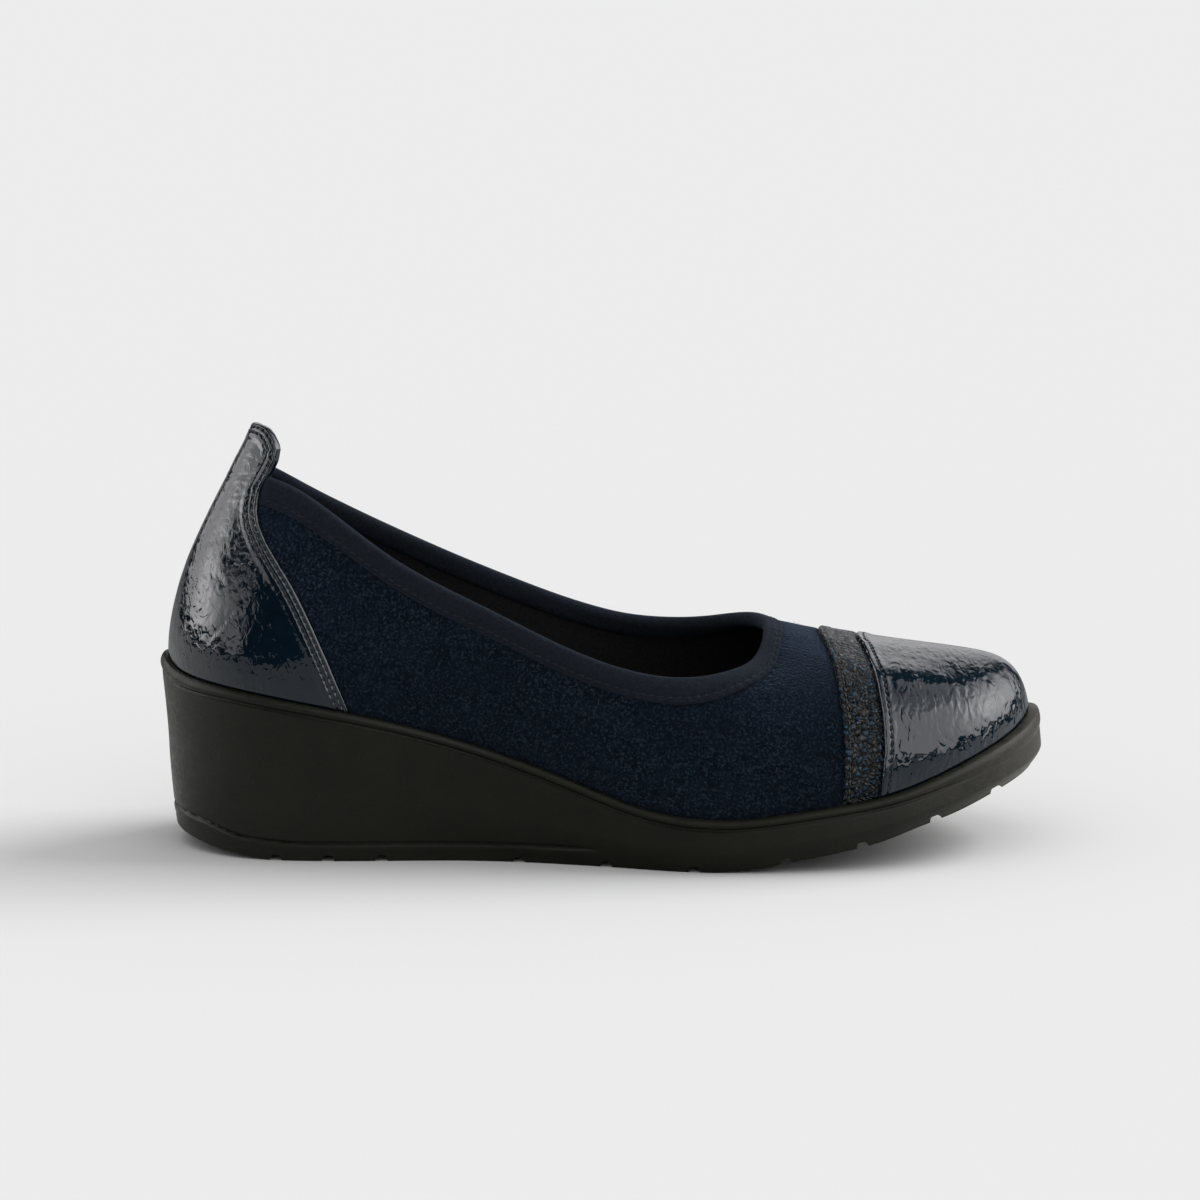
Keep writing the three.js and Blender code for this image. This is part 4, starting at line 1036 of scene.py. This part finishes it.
def make_strip():
    n, m = 300, 44
    k = np.linspace(0, 1, n)
    t = spread(m, 0.5)[:, None] * 1.06
    ru, rv, cu, cv = (np.interp(k, np.linspace(0, 1, 241), a)[None, :] for a in (REAR_U, REAR_V, CAP_U, CAP_V))
    U, V = ru + (cu - ru) * t, rv + (cv - rv) * t
    U, V = U[:, ::-1], sink(V[:, ::-1])
    base = last(U, V)
    dist = edge_distance(base, base[0])
    front = edge_distance(base, last(CAP_U, CAP_V))
    out = fold_profile(dist, 0.92, -0.25, 0.7)
    out += valley(dist, 1.75, 0.34, 0.16) - 0.16 * smooth((dist - 2.2) / 1.2)
    out -= 0.55 * np.exp(-((front / 0.85) ** 2))                       # it dips beside the cap's edge
    out += 0.07 * fractal(base, 1.7, 2, 3.3) + 0.10 * fractal(base, 9.0, 2, 2.0)
    out = thin_out(out, V)
    make_overlay("instep_strip_flecked", U, V, out, np.full(U.shape, -0.25), [STRIP_MAT], ["instep_strip"], flap=4)
    kk = np.linspace(0.004, 0.996, 1500)
    su, sv = np.interp(kk, np.linspace(0, 1, 241), REAR_U), np.interp(kk, np.linspace(0, 1, 241), REAR_V)
    iu, iv = inset(su, sv, 1.7, 1)
    if last(iu, iv)[:, 0].mean() < last(su, sv)[:, 0].mean():
        iu, iv = inset(su, sv, 1.7, -1)
    stitches("strip_stitches", [(iu, iv, np.full(iu.shape, 0.82))], [THREAD_LIGHT], pitch=2.1, gap=0.5, radius=0.17, lift=0.05)


def make_cap():
    across, up = 300, 168
    corner = 0.14
    t60 = np.linspace(0, 1, 241)
    at = lambda t: (np.interp(t, t60, CAP_U), np.interp(t, t60, CAP_V))
    a = spread(across, 0.35)[None, :]
    b = spread(up, 0.45)[:, None]
    lo = (CAP_U[0] + (CAP_U[-1] - CAP_U[0]) * a, np.full(a.shape, LOW))
    hi = at(corner + (1 - 2 * corner) * a)
    left, right = at(corner * b), at(1 - corner * b)
    e0, e1, k0, k1 = (CAP_U[0], LOW), (CAP_U[-1], LOW), at(corner), at(1 - corner)
    U, V = (lo[i] + (hi[i] - lo[i]) * b + left[i] + (right[i] - left[i]) * a
            - (1 - a) * (1 - b) * e0[i] - a * (1 - b) * e1[i] - (1 - a) * b * k0[i] - a * b * k1[i] for i in range(2))
    V = sink(V)
    base = last(U, V)
    rear = last(np.interp(np.linspace(0, 1, 600), t60, CAP_U), np.interp(np.linspace(0, 1, 600), t60, CAP_V))
    dist = edge_distance(base, rear)
    start = np.full(U.shape, 0.12)
    out = fold_profile(dist, 1.12, start, 0.75)
    out += valley(dist, 2.05, 0.33, 0.20) - 0.22 * smooth((dist - 2.6) / 1.6)
    inside = smooth((dist - 1.2) / 2.0)
    out += inside * (0.055 * fractal(base, 9.0, 2, 5.1, (0.8, 1.2, 1)) + 0.016 * fractal(base, 2.5, 2, 2.9, (1.3, 0.7, 0.7)))
    out += inside * 0.14 * fractal(base, 26.0, 2, 1.1)
    kk = np.linspace(0.004, 0.996, 1700)
    su, sv = at(kk)
    iu, iv = inset(su, sv, 2.05, 1)
    if last(iu, iv)[:, 0].mean() < last(su, sv)[:, 0].mean():
        iu, iv = inset(su, sv, 2.05, -1)
    near = dist < 3.4
    out[near] += pits(base[near], iu, iv, 0.94, 2.2, 0.26)
    out = thin_out(out, V)
    make_overlay("toe_cap_patent", U, V, out, start, [PATENT_CAP], ["toe_cap"], flap=6)
    stitches("cap_stitches", [(iu, iv, np.full(iu.shape, 0.94))], [THREAD], pitch=2.2, gap=0.5, radius=0.18, lift=0.05)


# ------------------------------------------------------------------ lint
def make_lint():
    rng = np.random.default_rng(41)
    verts, faces = [], []
    tries = 0
    while len(verts) < 170 and tries < 3000:
        tries += 1
        u = rng.uniform(0.10, 0.86)
        v = rng.uniform(0.04, 0.9)
        p = last(u, v)
        if p[0] > 59 or p[0] < -84 or v > float(tape_edge(np.array(u))) - 0.01:
            continue
        length = rng.choice([0.35, 0.5, 0.9, 1.8, 3.0], p=[0.36, 0.28, 0.2, 0.11, 0.05])
        n = last_normal(u, v)
        a = rng.uniform(0, math.pi)
        t1 = unit(np.cross(n, [0.3, 0.1, 1.0]))
        t2 = np.cross(n, t1)
        curl = rng.uniform(-2.2, 2.2)
        k = np.linspace(0, 1, 8)
        ang = a + curl * k
        line = p + n * (0.30 + 0.25 * rng.uniform() * np.sin(math.pi * k))[:, None] + np.concatenate([[np.zeros(3)], np.cumsum((np.cos(ang)[:-1, None] * t1 + np.sin(ang)[:-1, None] * t2) * length / 7, axis=0)])
        width = rng.uniform(0.045, 0.085)
        side = unit(np.cross(np.gradient(line, axis=0), n)) * width / 2
        b = sum(len(q) for q in verts)
        verts.append(np.concatenate([line + side, line - side, line + n * width * 0.8]))
        for i in range(7):
            faces += [(b + i, b + i + 1, b + 17 + i, b + 16 + i), (b + 16 + i, b + 17 + i, b + 9 + i, b + 8 + i)]
    build("lint_fibres", np.concatenate(verts), faces, [LINT])


make_sole()
make_upper()
make_insole()
make_tape()
make_counter()
make_strip()
make_cap()
make_lint()

# ------------------------------------------------------------------ floor, light, camera
floor_mesh = bpy.data.meshes.new("floor")
floor_mesh.from_pydata([(-8, -8, 0), (8, -8, 0), (8, 8, 0), (-8, 8, 0)], [], [(0, 1, 2, 3)])
floor = bpy.data.objects.new("floor", floor_mesh)
bpy.context.scene.collection.objects.link(floor)
paper = Look("floor_paper", Roughness=0.9, Specular_IOR_Level=0.0)
spot = paper.t.nodes.new("ShaderNodeSeparateXYZ")
paper.t.links.new(paper.obj, spot.inputs[0])
across, ahead = spot.outputs[0], spot.outputs[1]
away = paper.math("SQRT", paper.math("ADD", paper.math("MULTIPLY", across, across), paper.math("MULTIPLY", ahead, ahead)))
turned = paper.math("MULTIPLY_ADD", paper.math("DIVIDE", ahead, paper.math("MAXIMUM", away, 0.001)), 0.5, 0.5)
# painted shade on the floor: darker in front of and behind the shoe, used for glossy rays only
painted_floor_shade = paper.ramp(turned, [(0.0, 0.47), (0.115, 0.53), (0.33, 0.90), (0.5, 1.00), (0.67, 0.88), (0.82, 0.50), (0.935, 0.18), (1.0, 0.42)])
seen = paper.t.nodes.new("ShaderNodeLightPath")
paper.set("Base Color", paper.mix(seen.outputs["Is Glossy Ray"], (0.780, 0.780, 0.780), painted_floor_shade))       # painted shade: in glossy rays the floor's colour is darker in front of and behind the shoe, standing in for the darker studio floor seen in the gloss
floor_mesh.materials.append(paper.m)

scene = bpy.context.scene
world = bpy.data.worlds.new("studio")
scene.world = world
world.use_nodes = True
world.cycles.sampling_method = "NONE"
wt = world.node_tree
wt.nodes.clear()


def wmath(op, a, b=0.0, clamp=False):
    n = wt.nodes.new("ShaderNodeMath")
    n.operation, n.use_clamp = op, clamp
    for s, val in ((n.inputs[0], a), (n.inputs[1], b)):
        if hasattr(val, "is_output"):
            wt.links.new(val, s)
        else:
            s.default_value = val
    return n.outputs[0]


def wrange(value, a, b, to0=0.0, to1=1.0):
    n = wt.nodes.new("ShaderNodeMapRange")
    n.interpolation_type = "SMOOTHSTEP"
    wt.links.new(value, n.inputs[0])
    for i, val in zip((1, 2, 3, 4), (a, b, to0, to1)):
        n.inputs[i].default_value = val
    return n.outputs[0]


direction = wt.nodes.new("ShaderNodeTexCoord").outputs["Generated"]


def wdot(v):
    n = wt.nodes.new("ShaderNodeVectorMath")
    n.operation = "DOT_PRODUCT"
    wt.links.new(direction, n.inputs[0])
    n.inputs[1].default_value = v
    return n.outputs["Value"]


AZ = wmath("MULTIPLY", wmath("ARCTAN2", wdot((1, 0, 0)), wdot((0, 1, 0))), 57.29578)        # 0 behind the shoe, 90 its toe side
EL = wmath("MULTIPLY", wmath("ARCSINE", wdot((0, 0, 1))), 57.29578)


def lamp(az0, az1, el0, el1, edge, radiance):
    """A large soft lamp far away, by its edges in degrees."""
    inside = wmath("MULTIPLY", wrange(AZ, az0 - edge, az0 + edge), wrange(AZ, az1 + edge, az1 - edge))
    inside = wmath("MULTIPLY", inside, wmath("MULTIPLY", wrange(EL, el0 - 1.5, el0 + 1.5), wrange(EL, el1 + edge, el1 - edge)))
    return wmath("MULTIPLY", inside, radiance)


def core(az, wide, el, tall, radiance):
    """The bright middle of a lamp."""
    a = wmath("DIVIDE", wmath("SUBTRACT", AZ, az), wide)
    e = wmath("DIVIDE", wmath("SUBTRACT", EL, el), tall)
    return wmath("MULTIPLY", wmath("EXPONENT", wmath("MULTIPLY", wmath("ADD", wmath("MULTIPLY", a, a), wmath("MULTIPLY", e, e)), -1.0)), radiance)


env = wmath("ADD", wmath("MULTIPLY", lamp(-4, 27, -20, 42, 8, 1.0), wrange(EL, 0, 26, 0.75, 1.4)), 0.035)   # white backdrop behind, dark room on the camera's side
env = wmath("ADD", env, wmath("MULTIPLY", lamp(-145, -36, 3.5, 18, 5, 1.0), wmath("ADD", core(-90, 21, 10.5, 9, 5.2), 1.5)))       # large lamps left and right
env = wmath("ADD", env, wmath("MAXIMUM", lamp(-104, -36, 17, 29, 5, 2.4), lamp(-150, -36, 25, 52, 4, 2.5)))
env = wmath("ADD", env, wmath("ADD", lamp(41, 170, 4.5, 74, 5, 1.1), wmath("MULTIPLY", lamp(48, 168, 4.5, 53, 7, 1.0), wmath("ADD", core(88, 24, 26, 17, 3.9), 1.4))))
gloss = wt.nodes.new("ShaderNodeBackground")
wt.links.new(env, gloss.inputs["Strength"])
gloss.inputs["Color"].default_value = (1.0, 0.985, 1.0, 1)
soft = wt.nodes.new("ShaderNodeBackground")
soft.inputs["Color"].default_value = (1, 1, 1, 1)
above = wmath("ADD", wmath("MULTIPLY", wmath("MAXIMUM", wdot((0, 0, 1)), 0.0), 0.60), 0.11)
above = wmath("ADD", above, wmath("MULTIPLY", wmath("MAXIMUM", wdot((0, -1, 0)), 0.0), 0.22))
above = wmath("ADD", above, wmath("MULTIPLY", wmath("MAXIMUM", wdot((-0.85, -0.53, 0)), 0.0), 0.20))
wt.links.new(wmath("ADD", above, wmath("MULTIPLY", wmath("MAXIMUM", wdot((1, 0, 0)), 0.0), 0.35)), soft.inputs["Strength"])
path = wt.nodes.new("ShaderNodeLightPath")
either = wt.nodes.new("ShaderNodeMixShader")
wt.links.new(path.outputs["Is Glossy Ray"], either.inputs[0])
wt.links.new(soft.outputs[0], either.inputs[1])
wt.links.new(gloss.outputs[0], either.inputs[2])
wout = wt.nodes.new("ShaderNodeOutputWorld")
wt.links.new(either.outputs[0], wout.inputs[0])

key = bpy.data.lights.new("key", "SUN")
key.energy = 2.05
key.angle = math.radians(40)
key_o = bpy.data.objects.new("key", key)
key_o.rotation_mode = "QUATERNION"
key_o.rotation_quaternion = Vector((0.74, 0.25, 0.62)).to_track_quat("Z", "Y")
key_o.visible_glossy = False
scene.collection.objects.link(key_o)

scene.view_settings.view_transform = "Standard"
scene.view_settings.look = "None"

tilt = math.radians(12)
cam = bpy.data.cameras.new("camera")
cam.sensor_width = 36
cam.lens = 6393.6 / 1200 * 36
cam.clip_start, cam.clip_end = 0.05, 60
cam_o = bpy.data.objects.new("camera", cam)
cam_o.location = ((SHIFT[0]) / 1000, SHIFT[1] / 1000 - 1.8 * math.cos(tilt), 0.06845 + 1.8 * math.sin(tilt))
cam_o.rotation_euler = (math.radians(90) - tilt, 0, 0)
scene.collection.objects.link(cam_o)
scene.camera = cam_o
